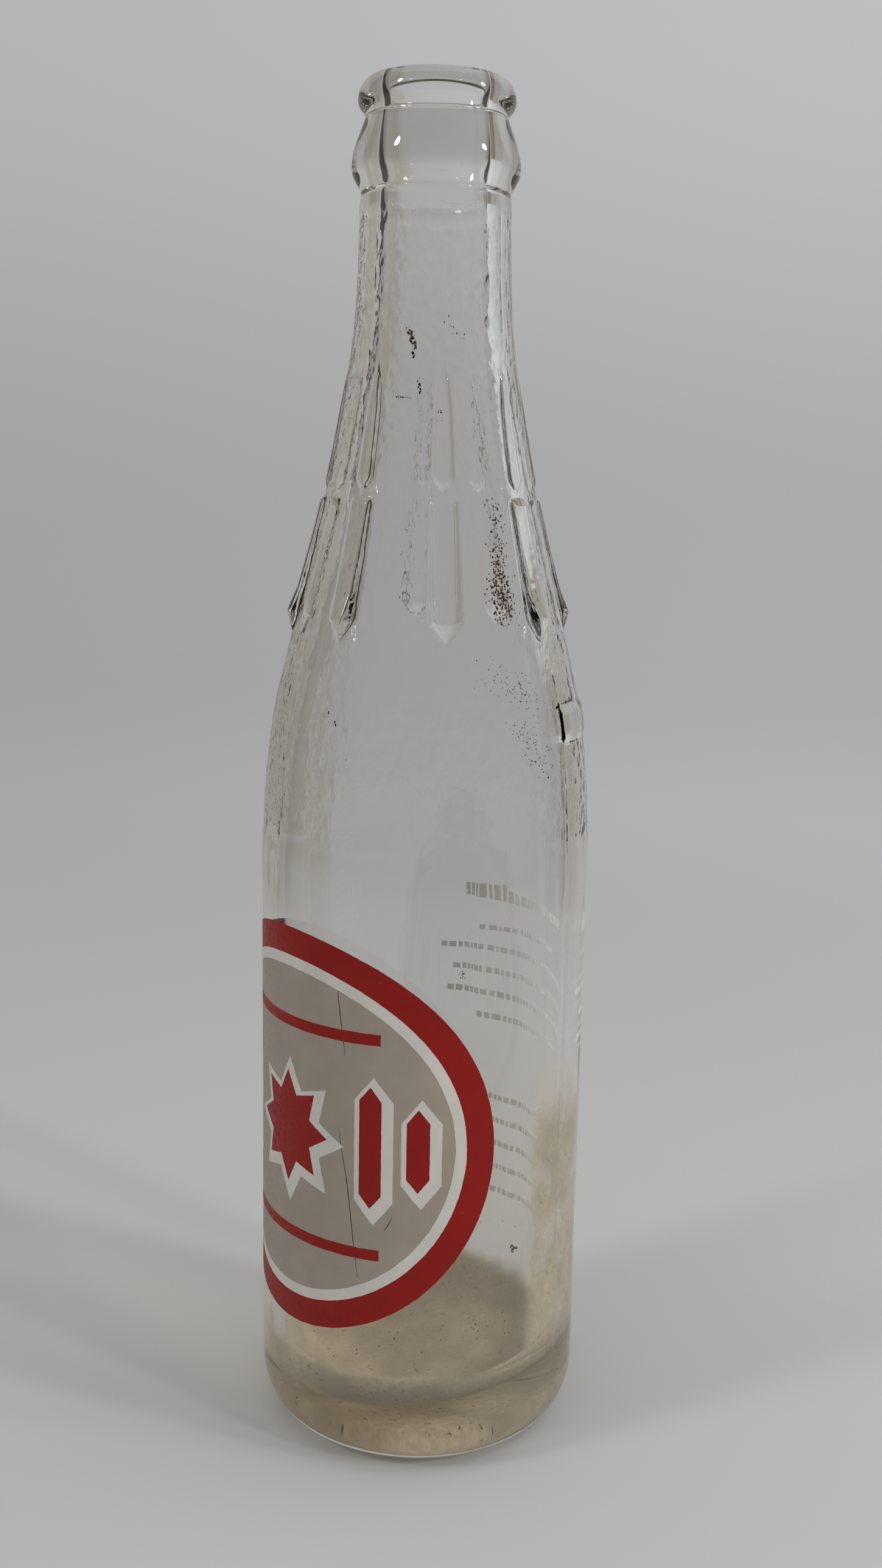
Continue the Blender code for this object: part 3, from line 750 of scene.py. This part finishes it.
def glass_material(settings):
    """Clear glass with a fine stipple where the mesh says so and a faint tint in the thick places."""
    shader = Shader("clear_glass")
    stipple = shader.add("Attribute", attribute_name="stipple").outputs["Fac"]
    grain = shader.math("MULTIPLY", shader.noise(1.0 * MM, 1.0, stretch=STIPPLE_STRETCH), stipple)
    ripple = shader.noise(14 * MM, 1.0)
    height = shader.math("ADD", grain, shader.math("MULTIPLY", ripple, 0.15))
    shader.set(
        Base_Color=settings.clear, Roughness=0.0, IOR=GLASS_IOR, Transmission_Weight=1.0,
        Normal=shader.bump(height, 0.06 * MM),
    )
    shader.let_light_through(shader.surface, settings.shadow, 0.5)
    volume = shader.add("VolumeAbsorption", Color=settings.tint, Density=settings.tint_density)
    shader.feed(volume.outputs[0], shader.output.inputs["Volume"])
    return shader.material


def enamel_material(name, colour, worn, roughness, glow=0.0):
    """Fired enamel, uneven in colour and gloss, with pinholes and a fine orange peel; a thin coat glows."""
    shader = Shader(name)
    cloud = shader.ramp(shader.noise(6 * MM, 4.0), 0.35, 0.7)
    speck = shader.ramp(shader.noise(0.45 * MM, 2.0, 0.6), 0.74, 0.80)
    fine = shader.noise(0.8 * MM, 3.0)
    body = shader.mix(cloud, shaded(colour, 0.93), colour)
    shader.set(
        Base_Color=shader.mix(speck, body, worn),
        Roughness=shader.ramp(fine, 0.3, 0.7, roughness - 0.08, roughness + 0.12),
        Normal=shader.bump(shader.math("SUBTRACT", fine, shader.math("MULTIPLY", speck, 0.8)), 0.02 * MM),
        Specular_IOR_Level=ENAMEL_SPECULAR,
    )
    if glow > 0.0:
        through = shader.add("BsdfTranslucent", Color=colour)
        shader.let_light_through(shader.join(glow, shader.surface, through), (0.9, 0.9, 0.9))
    return shader.material


def residue_material(name, colour):
    """Dried brown residue."""
    shader = Shader(name)
    grain = shader.noise(0.4 * MM, 4.0)
    shader.set(
        Base_Color=shader.mix(grain, shaded(colour, 0.35), colour), Roughness=0.75,
        Normal=shader.bump(grain, 0.05 * MM),
    )
    return shader.material


def film_material(name, colour, most):
    """A film of dust that fades out up the inner wall, uneven in shade and speckled."""
    shader = Shader(name)
    cloud = shader.ramp(shader.noise(7 * MM, 5.0, 0.6), 0.3, 0.7)
    grain = shader.ramp(shader.noise(0.8 * MM, 3.0, 0.7), 0.35, 0.65)
    speck = shader.ramp(shader.noise(0.9 * MM, 2.0, 0.6), 0.64, 0.70)
    dark = shaded(colour, 0.62)
    spotted = shader.mix(shader.math("MULTIPLY", grain, 0.6), shader.mix(cloud, dark, colour), dark)
    height = shader.add("SeparateXYZ", Vector=shader.place()).outputs["Z"]
    wander = shader.math("MULTIPLY", shader.noise(5 * MM, 5.0, 0.6), 3 * MM)
    ragged_height = shader.math("ADD", height, wander)
    low = shader.ramp(ragged_height, 17 * MM, 21 * MM, 1.0, 0.07)
    gone = shader.ramp(ragged_height, 58 * MM, 76 * MM, 1.0, 0.0)
    blotch = shader.ramp(shader.noise(9 * MM, 4.0, 0.6), 0.25, 0.6, 0.25, 0.9)
    side = shader.ramp(shader.towards(shader.place(), STAIN_ANGLE), 23.0 * MM, 25.0 * MM)
    stain = shader.math("MULTIPLY", side, blotch)
    cover = shader.math("MULTIPLY", shader.math("MAXIMUM", low, stain), gone)
    cover = shader.math("MULTIPLY", cover, most)
    shader.set(
        Base_Color=shader.mix(speck, spotted, (dark[0] * 0.35, dark[1] * 0.33, dark[2] * 0.3)),
        Roughness=0.85, Specular_IOR_Level=FILM_SPECULAR,
    )
    through = shader.add("BsdfTranslucent", Color=colour)
    clear = shader.add("BsdfTransparent")
    dusty = shader.join(cover, clear, shader.join(0.4, shader.surface, through))
    shader.let_light_through(dusty, (0.9, 0.88, 0.84))
    return shader.material


def grown(outline, amount, shift):
    """Grow an anticlockwise outline evenly all round, then shift it to the right and down."""
    points = []
    for before, corner, after in zip(outline[-1:] + outline[:-1], outline, outline[1:] + outline[:1]):
        into = (Vector(corner) - Vector(before)).normalized()
        out = (Vector(after) - Vector(corner)).normalized()
        normal_in = Vector((into.y, -into.x))
        normal_out = Vector((out.y, -out.x))
        moved = Vector(corner) + (normal_in + normal_out) * amount / (1.0 + normal_in.dot(normal_out))
        points.append((moved.x + shift, moved.y - shift))
    return points


def ragged(outline, seed, most):
    """Split an outline into short steps and push it in and out a little, as a printing screen leaves it."""
    points = []
    for start, end in zip(outline, outline[1:] + outline[:1]):
        a = Vector(start)
        b = Vector(end)
        count = max(1, math.ceil((b - a).length / PRINT_STEP))
        side = Vector((b.y - a.y, a.x - b.x)).normalized()
        for index in range(count):
            point = a.lerp(b, index / count)
            where = Vector((point.x, point.y, seed))
            push = sum(share * noise.noise(where / grain) for share, grain in RAGGED_WAVES)
            point = point + side * push * most
            points.append((point.x, point.y))
    return points


def print_patch(outlines, height, angle, sink, rise, seed, most=RAGGED):
    """A patch of enamel, drawn flat and bent round the body, from just inside the glass to just outside."""
    bm = bmesh.new()
    edges = []
    for number, outline in enumerate(outlines):
        corners = [bm.verts.new((x, 0.0, z)) for x, z in ragged(outline, seed + number, most)]
        edges += [bm.edges.new((a, b)) for a, b in zip(corners, corners[1:] + corners[:1])]
    bmesh.ops.triangle_fill(bm, use_beauty=True, edges=edges, normal=(0, -1, 0))
    reach = max(abs(vert.co.x) for vert in bm.verts)
    for index in range(-int(reach / PRINT_STRIP), int(reach / PRINT_STRIP) + 1):
        bmesh.ops.bisect_plane(
            bm, geom=bm.verts[:] + bm.edges[:] + bm.faces[:], dist=PRINT_SNAP,
            plane_co=(index * PRINT_STRIP, 0, 0), plane_no=(1, 0, 0),
        )
    raise_faces(bm, bm.faces[:], (0, -sink - rise, 0))
    bmesh.ops.recalc_face_normals(bm, faces=bm.faces)
    for vert in bm.verts:
        vert.co = around(angle + vert.co.x / BODY_RADIUS, BODY_RADIUS - sink - vert.co.y, height + vert.co.z)
    return bm


def oval(half_width, half_height, inset):
    """An oval outline, drawn in by an inset."""
    turns = [math.tau * index / OVAL_STEPS for index in range(OVAL_STEPS)]
    return [((half_width - inset) * math.cos(turn), (half_height - inset) * math.sin(turn)) for turn in turns]


def star_outline(half_width, half_height):
    """The eight-pointed star."""
    points = []
    for index in range(2 * STAR_POINTS):
        reach = STAR_VALLEY if index % 2 else 1.0
        angle = math.pi * index / STAR_POINTS
        across = reach * STAR_WIDTH * half_width * math.cos(angle)
        points.append((across, reach * STAR_HEIGHT * half_height * math.sin(angle)))
    return points


def bar_outline(half_width, half_height, place, length):
    """An upright bar pointed at both ends."""
    width = BAR_WIDTH * half_width
    centre = place * half_width
    point = length * half_height
    shoulder = point - BAR_POINT * width
    right = centre + width / 2
    left = centre - width / 2
    return [
        (right, shoulder), (centre, point), (left, shoulder),
        (left, -shoulder), (centre, -point), (right, -shoulder),
    ]


def box_outline(left, right, low, high):
    """A plain box."""
    return [(right, low), (right, high), (left, high), (left, low)]


def inside_radius(height, wall):
    """Radius of the plain turned inside from the inner heel to the top of the neck."""
    if height <= SHOULDER_FOOT:
        return BODY_RADIUS - wall
    share = (height - SHOULDER_FOOT) / SHOULDER_RISE
    return shoulder_radius(height) - wall - (NECK_WALL - wall) * share


def flake(bm, glass, angle, height, size, rng):
    """One small irregular flake, stuck on the inner wall."""
    base = bmesh.ops.create_circle(bm, cap_ends=True, radius=size / 2, segments=FLAKE_CORNERS)["verts"]
    for vert in base:
        vert.co *= FLAKE_LEAST + FLAKE_EXTRA * rng.random()
        vert.co.x *= FLAKE_NARROW
    top = raise_faces(bm, [base[0].link_faces[0]], (0, 0, FLAKE_THICK))
    for vert in base + top:
        level = height + vert.co.y
        radius = inside_radius(level, glass.wall)
        place = around(angle + vert.co.x / radius, radius + (FLAKE_SINK - vert.co.z), level)
        vert.co = shape_inside(place, glass.waviness, glass.tilt)


def dust_film(glass):
    """A thin closed skin of dust over the inner floor and up the inner wall."""
    inner = BODY_RADIUS - glass.wall
    flat = inner - INNER_HEEL_RADIUS
    heel = glass.floor + INNER_HEEL_RADIUS
    skins = []
    for gap in FILM_SKINS:
        radius = INNER_HEEL_RADIUS - gap
        skin = floor_points(flat, glass.floor + gap)[::-1] + [(flat, glass.floor + gap)]
        skin += arc((flat, heel), radius, radius, -90, 0, FILM_HEEL_STEPS)
        skin += [(inner - gap, heel + FILM_REACH * index / FILM_ROWS) for index in range(1, FILM_ROWS + 1)]
        skins.append(skin)
    bm = turn_outline(skins[0] + skins[1][::-1], DUST_SEGMENTS)
    for vert in bm.verts:
        vert.co = shape_inside(vert.co, glass.waviness, glass.tilt)
    return bm


def base_dust(glass):
    """A thin closed skin of dust over the push-up, the bearing and the low heel, just inside the glass."""
    under = glass_outline(glass.wall, glass.floor)[:BASE_POINTS]
    low, high = ([(radius, height + rise) for radius, height in under] for rise in BASE_SKINS)
    return turn_outline(low + high[::-1], DUST_SEGMENTS)


def crack_outline(path, half):
    """A long thin outline along a crack, narrow at both ends; the path is angle in degrees, height in mm."""
    line = [Vector((math.radians(angle) * BODY_RADIUS, height * MM)) for angle, height in path]
    right = []
    left = []
    for index, point in enumerate(line):
        along = (line[min(index + 1, len(line) - 1)] - line[max(index - 1, 0)]).normalized()
        side = Vector((-along.y, along.x))
        width = half * (CRACK_END + (1 - CRACK_END) * math.sin(math.pi * index / (len(line) - 1)))
        right.append(tuple(point - side * width))
        left.append(tuple(point + side * width))
    return right + left[::-1]


def measure(name, description, default):
    """A length that a user would change."""
    return FloatProperty(name=name, description=description, default=default, unit="LENGTH")


def quantity(name, description, default):
    """A plain number that a user would change."""
    return FloatProperty(name=name, description=description, default=default)


def swatch(name, description, default):
    """A colour that a user would change."""
    return FloatVectorProperty(name=name, description=description, default=default, subtype="COLOR")


class BottleSettings(bpy.types.PropertyGroup):
    """Sizes and tint of the glass."""

    wall: measure("Wall", "Thickness of the body's wall", 3.9 * MM)
    floor: measure("Floor", "Thickness of the base under the inner floor", 10.8 * MM)
    tilt: quantity("Floor tilt", "Rise of the inner floor to one side, per length", 0.12)
    waviness: measure("Waviness", "How uneven the inner wall is", 0.16 * MM)
    stipple: measure("Stipple", "Depth of the shoulder's stipple", 0.08 * MM)
    clear: swatch("Clear", "Share of light that the glass lets through", (0.955, 0.955, 0.95))
    tint: swatch("Tint", "Colour that thick glass takes", (0.62, 0.59, 0.45))
    tint_density: quantity("Tint density", "How fast thick glass takes its tint", 9.0)
    shadow: swatch("Shadow", "Share of lamp light that each surface lets through", (0.975, 0.968, 0.958))


class PrintSettings(bpy.types.PropertyGroup):
    """Colours and thickness of the fired enamel."""

    red: swatch("Red", "Red enamel", (0.205, 0.006, 0.004))
    white: swatch("White", "White enamel", (0.47, 0.45, 0.415))
    grey: swatch("Grey", "Grey enamel of the panel", (0.262, 0.222, 0.185))
    rise: measure("Rise", "Height of the print over the glass", 0.03 * MM)


class ResidueSettings(bpy.types.PropertyGroup):
    """Colours of what has dried in the bottle."""

    flakes: swatch("Flakes", "Brown dried flakes", (0.13, 0.068, 0.036))
    film: swatch("Film", "Dust on the inner floor", (0.78, 0.69, 0.53))
    base: swatch("Base dust", "Dust under the base", (0.76, 0.69, 0.56))
    film_cover: quantity("Film cover", "How much the dust hides", 0.95)


class StudioSettings(bpy.types.PropertyGroup):
    """Floor, backdrop and lamps."""

    floor: swatch("Floor", "Colour of the floor", (0.40, 0.40, 0.397))
    low: swatch("Backdrop low", "Backdrop where it meets the floor", (0.385, 0.385, 0.388))
    high: swatch("Backdrop high", "Backdrop above", (0.485, 0.487, 0.49))
    room: swatch("Room", "Dim room behind the camera, seen in reflections", (0.34, 0.31, 0.27))
    ambient: quantity("Ambient", "Light from all round", 0.62)
    lamps: quantity("Lamps", "Strength of the lamps", 1.0)


class BOTTLE_OT_glass(bpy.types.Operator):
    """Turn the glass and shape its ribs, tablet, seams, stipple and uneven inside"""

    bl_idname = "bottle.glass"
    bl_label = "Glass"

    def execute(self, context):
        settings = context.scene.bottle_settings
        bm = turn_outline(glass_outline(settings.wall, settings.floor), SEGMENTS)
        layer = bm.verts.layers.float.new("stipple")
        land = BORE_RADIUS + LAND_ROUND + LAND_MARGIN
        for vert in bm.verts:
            radius = math.hypot(vert.co.x, vert.co.y)
            height = vert.co.z
            if height < HEEL_HEIGHT or SHOULDER_TOP < height and radius > land:
                continue
            if height <= SHOULDER_TOP:
                outer = shoulder_radius(height) if height > SHOULDER_FOOT else BODY_RADIUS
                if radius > outer - OUTER_SKIN:
                    shape_outside(vert, settings.stipple, layer)
                    continue
            vert.co = shape_inside(vert.co, settings.waviness, settings.tilt)
        add_piece("bottle_glass", bm, glass_material(settings), nodes=["glass_bottle"])
        return {"FINISHED"}


class BOTTLE_OT_front_label(bpy.types.Operator):
    """Lay the front label's enamel on the glass"""

    bl_idname = "bottle.front_label"
    bl_label = "Front label"

    def execute(self, context):
        settings = context.scene.print_settings
        finishes = {
            "red_enamel": enamel_material("red_enamel", settings.red, (0.26, 0.07, 0.055), 0.42),
            "white_enamel": enamel_material("white_enamel", settings.white, (0.35, 0.325, 0.28), 0.42),
            "grey_enamel": enamel_material("grey_enamel", settings.grey, (0.18, 0.14, 0.11), 0.46),
        }
        low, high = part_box("label_frame")
        half_height = (high.z - low.z) / 2
        half_width = LABEL_HALF_TURN * (BODY_RADIUS + LABEL_CLEARANCE)

        def lay(name, outlines, slot, level):
            rise = settings.rise + PRINT_LAYER * level
            bm = print_patch(outlines, LABEL_CENTRE, 0.0, PRINT_SINK * level, rise, level * PRINT_SEED_STEP)
            add_piece(name + "_print", bm, finishes[slot], nodes=["label_" + name], sharp=PRINT_SHARP)

        insets = (0.0, FRAME_WIDTH, FRAME_WIDTH - OVERLAP, FRAME_WIDTH + KEYLINE_WIDTH)
        outer, frame_inner, key_outer, key_inner = (oval(half_width, half_height, inset) for inset in insets)
        lay("frame", [outer, frame_inner], "red_enamel", 3)
        lay("keyline", [key_outer, key_inner], "white_enamel", 2)
        wide = half_width - MOTIF_MARGIN
        tall = half_height - MOTIF_MARGIN
        edge = EDGE_WIDTH * wide
        shift = EDGE_SHIFT * wide
        motifs = {"star": star_outline(wide, tall)}
        for side, side_name in ((1, "right"), (-1, "left")):
            for name, (place, length) in BARS.items():
                motifs["bar_" + name + "_" + side_name] = bar_outline(wide, tall, side * place, length)
        rules = {}
        for side, name in ((1, "rule_upper"), (-1, "rule_lower")):
            half_length = RULE_LENGTH * wide
            middle = side * RULE_PLACE * tall
            half = RULE_WIDTH * tall
            rules[name] = box_outline(-half_length, half_length, middle - half, middle + half)
        holes = [grown(outline, edge - OVERLAP, shift) for outline in motifs.values()]
        holes += [grown(outline, -OVERLAP, 0.0) for outline in rules.values()]
        panel = oval(half_width, half_height, FRAME_WIDTH + KEYLINE_WIDTH - OVERLAP)
        lay("panel", [panel] + holes, "grey_enamel", 1)
        for name, outline in motifs.items():
            ring = [grown(outline, edge, shift), grown(outline, -OVERLAP, 0.0)]
            lay(name + "_edge", ring, "white_enamel", 2)
            lay(name, [outline], "red_enamel", 3)
        for name, outline in rules.items():
            lay(name, [outline], "red_enamel", 3)
        return {"FINISHED"}


class BOTTLE_OT_back_print(bpy.types.Operator):
    """Lay the back's plain rows on the glass, broken into short strokes"""

    bl_idname = "bottle.back_print"
    bl_label = "Back print"

    def execute(self, context):
        white = enamel_material("pale_enamel", (0.92, 0.905, 0.86), (0.6, 0.55, 0.48), 0.45, glow=0.85)
        names = sorted(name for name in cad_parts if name.startswith("back_"))
        for number, name in enumerate(names):
            low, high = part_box(name)
            half = math.asin(min(1.0, (high.x - low.x) / 2 / (BODY_RADIUS + BACK_CLEARANCE))) * BODY_RADIUS
            thick = (high.z - low.z) * STROKE_HEIGHT
            rng = random.Random(STROKE_SEED + number)
            merged = bmesh.new()
            start = -half
            index = 0
            while start < half - STROKE_END:
                end = min(half, start + (STROKE_LENGTH + STROKE_EXTRA * rng.random()) * MM)
                stroke = mesh_of("stroke", print_patch(
                    [box_outline(start, end, -thick / 2, thick / 2)], (low.z + high.z) / 2, BACK_ANGLE,
                    STROKE_SINK, STROKE_RISE, index * STROKE_SEED_STEP + number,
                ))
                merged.from_mesh(stroke)
                bpy.data.meshes.remove(stroke)
                start = end + STROKE_GAP
                index += 1
            add_piece(name + "_print", merged, white, nodes=[name], sharp=PRINT_SHARP)
        return {"FINISHED"}


class BOTTLE_OT_residue(bpy.types.Operator):
    """Leave dried flakes on the inner wall, a dusty film on the inner floor and fine cracks in the label"""

    bl_idname = "bottle.residue"
    bl_label = "Residue"

    def execute(self, context):
        settings = context.scene.residue_settings
        glass = context.scene.bottle_settings
        brown = residue_material("brown_residue", settings.flakes)
        dark = residue_material("dark_residue", shaded(settings.flakes, 0.25))
        flakes = (("brown_flakes", brown, BROWN_MARKS), ("dark_flakes", dark, DARK_MARKS))
        for name, material, marks in flakes:
            rng = random.Random(MARKS_SEED)
            bm = bmesh.new()
            for start, end, count, spread, size in marks:
                for index in range(count):
                    share = (index + rng.random()) / count
                    angle = start[0] + (end[0] - start[0]) * share
                    height = start[1] * MM + (end[1] - start[1]) * MM * share
                    radius = inside_radius(height, glass.wall)
                    turn = math.radians(angle) + rng.gauss(0, spread[0] * MM) / radius
                    height += rng.gauss(0, spread[1] * MM)
                    flake(bm, glass, turn, height, size * MM * (0.5 + rng.random()), rng)
            bmesh.ops.recalc_face_normals(bm, faces=bm.faces)
            add_piece(name, bm, material)
        films = (("floor_film", dust_film, settings.film), ("base_film", base_dust, settings.base))
        for name, make, colour in films:
            add_piece(name, make(glass), film_material(name, colour, settings.film_cover))
        crack = residue_material("crack", shaded(settings.flakes, 0.2))
        for number, path in enumerate(CRACKS):
            outline = crack_outline(path, CRACK_HALF)
            bm = print_patch([outline], 0.0, 0.0, CRACK_SINK, CRACK_RISE, number, CRACK_RAGGED)
            add_piece("crack_" + str(number + 1), bm, crack)
        return {"FINISHED"}


class BOTTLE_OT_stage(bpy.types.Operator):
    """Set the floor, backdrop, lamps and camera"""

    bl_idname = "bottle.stage"
    bl_label = "Stage"

    def execute(self, context):
        settings = context.scene.studio_settings
        add_floor(settings)
        add_world(settings)
        for name, values in LAMPS.items():
            add_lamp(name, *values, settings.lamps)
        add_camera()
        cycles = context.scene.cycles
        cycles.use_denoising = True
        cycles.max_bounces = 24
        cycles.transmission_bounces = 24
        cycles.glossy_bounces = 8
        cycles.transparent_max_bounces = 24
        cycles.caustics_reflective = False
        cycles.caustics_refractive = True
        context.scene.view_settings.view_transform = "Standard"
        return {"FINISHED"}


def cards(nodes, direction, part):
    """Half of how much brighter or darker glass and gloss see each direction, because cards stand round the
    stage; part is the far wall's or the far floor's."""
    split = nodes.add("SeparateXYZ", Vector=direction)
    turn = nodes.math("ARCTAN2", split.outputs["X"], nodes.math("MULTIPLY", split.outputs["Y"], -1.0))
    share = nodes.math("ADD", nodes.math("DIVIDE", turn, math.tau), 0.5)
    ramp = nodes.add("ValToRGB", Fac=share)
    bands = ramp.color_ramp.elements
    bands.remove(bands[1])
    bands[0].color = (*CARDS[0][part], 1)
    for card in CARDS:
        low, high, edge = card[:3]
        stops = ((low - edge, PLAIN), (low, card[part]), (high, card[part]), (high + edge, PLAIN))
        for angle, shade in stops:
            if -180 < angle < 180:
                bands.new(angle / 360 + 0.5).color = (*shade, 1)
    seen = nodes.either(["Is Glossy Ray", "Is Transmission Ray"])
    return nodes.mix(seen, PLAIN, ramp.outputs["Color"])


def surroundings(nodes, direction, plain, settings, part):
    """The backdrop in a direction: plain for the camera, with cards and a dim room in glass and gloss, and
    painted light that makes it brighter towards one side.
    """
    level = nodes.vector("MULTIPLY", direction, (1, 1, 0))["Vector"]
    level = nodes.vector("NORMALIZE", level)["Vector"]
    behind = nodes.towards(level, CAMERA_AZIMUTH)
    aside = nodes.towards(level, CAMERA_AZIMUTH + math.pi / 2)
    # Painted light: the backdrop is a little brighter towards one side, as if a lamp lit it more there.
    slant = nodes.mix(nodes.ramp(aside, -0.4, 0.4), (1.87, 1.86, 1.845), (2.13, 2.15, 2.185))
    lit = nodes.vector("MULTIPLY", plain, slant)["Vector"]
    carded = nodes.vector("MULTIPLY", lit, cards(nodes, direction, part))["Vector"]
    path = nodes.add("LightPath")
    mirrored = nodes.math("MINIMUM", path.outputs["Glossy Depth"], 1.0)
    inside = nodes.math("MINIMUM", path.outputs["Transmission Depth"], 1.0)
    room = nodes.mix(inside, shaded(settings.room, 0.12), settings.room)
    return nodes.mix(nodes.math("MULTIPLY", mirrored, nodes.ramp(behind, -0.3, 0.3)), carded, room)


def add_floor(settings):
    """A wide floor that fades into the backdrop far away, where it glows with painted light, a little
    brighter nearer the bottle, and shows the cards' painted reflections to glass and gloss.
    """
    bm = bmesh.new()
    bmesh.ops.create_circle(bm, cap_ends=True, radius=6.0, segments=96)
    floor = link("floor", mesh_of("floor", bm))
    shader = Shader("floor")
    floor.data.materials.append(shader.material)
    cloud = shader.ramp(shader.noise(0.5, 2.0), 0.3, 0.7)
    shader.set(
        Base_Color=shader.mix(cloud, shaded(settings.floor, 0.97), settings.floor), Roughness=0.7,
        Specular_IOR_Level=FLOOR_SPECULAR,
    )
    away = shader.vector("LENGTH", shader.place())["Value"]
    fade = shader.ramp(away, 0.2, 0.62)
    # Painted light: the glowing far floor is brighter nearer the bottle, as if the lamps lit it more there.
    plain = shader.mix(shader.ramp(away, 0.3, 1.1), shaded(settings.low, 1.12), settings.low)
    backdrop = surroundings(shader, shader.place(), plain, settings, FLOOR_PART)
    glow = shader.add("Emission", Color=backdrop, Strength=1.0)
    shader.finish(shader.join(shader.math("MULTIPLY", fade, shader.either(SEEN_RAYS)), shader.surface, glow))


def add_world(settings):
    """Even light from all round, and a pale graded backdrop for the camera, mirrors and glass."""
    world = bpy.data.worlds.new("studio")
    bpy.context.scene.world = world
    world.use_nodes = True
    nodes = Nodes(world.node_tree)
    world.node_tree.nodes.clear()
    direction = nodes.add("TexCoord").outputs["Generated"]
    height = nodes.add("SeparateXYZ", Vector=direction).outputs["Z"]
    plain = nodes.mix(nodes.ramp(height, -0.04, 0.26), settings.low, settings.high)
    near = surroundings(nodes, direction, plain, settings, FLOOR_PART)
    far = surroundings(nodes, direction, plain, settings, WALL_PART)
    backdrop = nodes.add("Background", Color=nodes.mix(nodes.ramp(height, 0.07, 0.12), near, far))
    light = nodes.add("Background", Color=(1, 1, 1), Strength=settings.ambient)
    output = nodes.add("OutputWorld")
    nodes.feed(nodes.join(nodes.either(SEEN_RAYS), light, backdrop).outputs[0], output.inputs["Surface"])


def add_lamp(name, azimuth, elevation, distance, width, height, power, shown, strength):
    """A soft oval lamp that faces the middle of the bottle; glass and gloss show it only if shown."""
    data = bpy.data.lights.new(name, "AREA")
    data.shape = "ELLIPSE"
    data.size = width
    data.size_y = height
    data.energy = power * strength
    lamp = link(name, data)
    rise = math.radians(elevation)
    away = around(CAMERA_AZIMUTH + math.radians(azimuth), math.cos(rise), math.sin(rise))
    lamp.location = Vector((0, 0, HEIGHT / 2)) + away * distance
    lamp.rotation_euler = (-away).to_track_quat("-Z", "Y").to_euler()
    lamp.visible_camera = False
    lamp.visible_glossy = shown
    lamp.visible_transmission = shown


def add_camera():
    """The camera at the place from which the photograph was taken."""
    data = bpy.data.cameras.new("camera")
    data.sensor_width = SENSOR
    data.lens = CAMERA_LENS
    data.clip_start = 0.01
    data.clip_end = 50
    camera = link("camera", data)
    place = around(CAMERA_AZIMUTH, CAMERA_DISTANCE, CAMERA_HEIGHT)
    turn = Matrix.Rotation(CAMERA_AZIMUTH - CAMERA_YAW, 4, "Z")
    turn = turn @ Matrix.Rotation(math.pi / 2 - CAMERA_PITCH, 4, "X")
    camera.matrix_world = Matrix.Translation(place) @ turn @ Matrix.Rotation(CAMERA_ROLL, 4, "Z")
    bpy.context.scene.camera = camera


class BOTTLE_PT_pieces(bpy.types.Panel):
    """Lists the bottle's pieces and settings"""

    bl_label = "Bottle"
    bl_idname = "BOTTLE_PT_pieces"
    bl_space_type = "VIEW_3D"
    bl_region_type = "UI"
    bl_category = "Bottle"

    def draw(self, context):
        for operator in OPERATORS:
            self.layout.operator(operator.bl_idname)
        for name, group in GROUPS.items():
            box = self.layout.box()
            settings = getattr(context.scene, name)
            for key in group.__annotations__:
                box.prop(settings, key)


OPERATORS = (BOTTLE_OT_glass, BOTTLE_OT_front_label, BOTTLE_OT_back_print, BOTTLE_OT_residue, BOTTLE_OT_stage)
GROUPS = {
    "bottle_settings": BottleSettings,
    "print_settings": PrintSettings,
    "residue_settings": ResidueSettings,
    "studio_settings": StudioSettings,
}
CLASSES = (*GROUPS.values(), *OPERATORS, BOTTLE_PT_pieces)


def register():
    """Register the classes and hang their settings on the scene."""
    for item in CLASSES:
        bpy.utils.register_class(item)
    for name, group in GROUPS.items():
        setattr(bpy.types.Scene, name, PointerProperty(type=group))


def unregister():
    """Take the settings and classes away again."""
    for name in GROUPS:
        delattr(bpy.types.Scene, name)
    for item in reversed(CLASSES):
        bpy.utils.unregister_class(item)


def main():
    """Build every piece and the stage."""
    register()
    bpy.ops.bottle.stage()
    bpy.ops.bottle.glass()
    bpy.ops.bottle.front_label()
    bpy.ops.bottle.back_print()
    bpy.ops.bottle.residue()


if __name__ == "__main__":
    main()
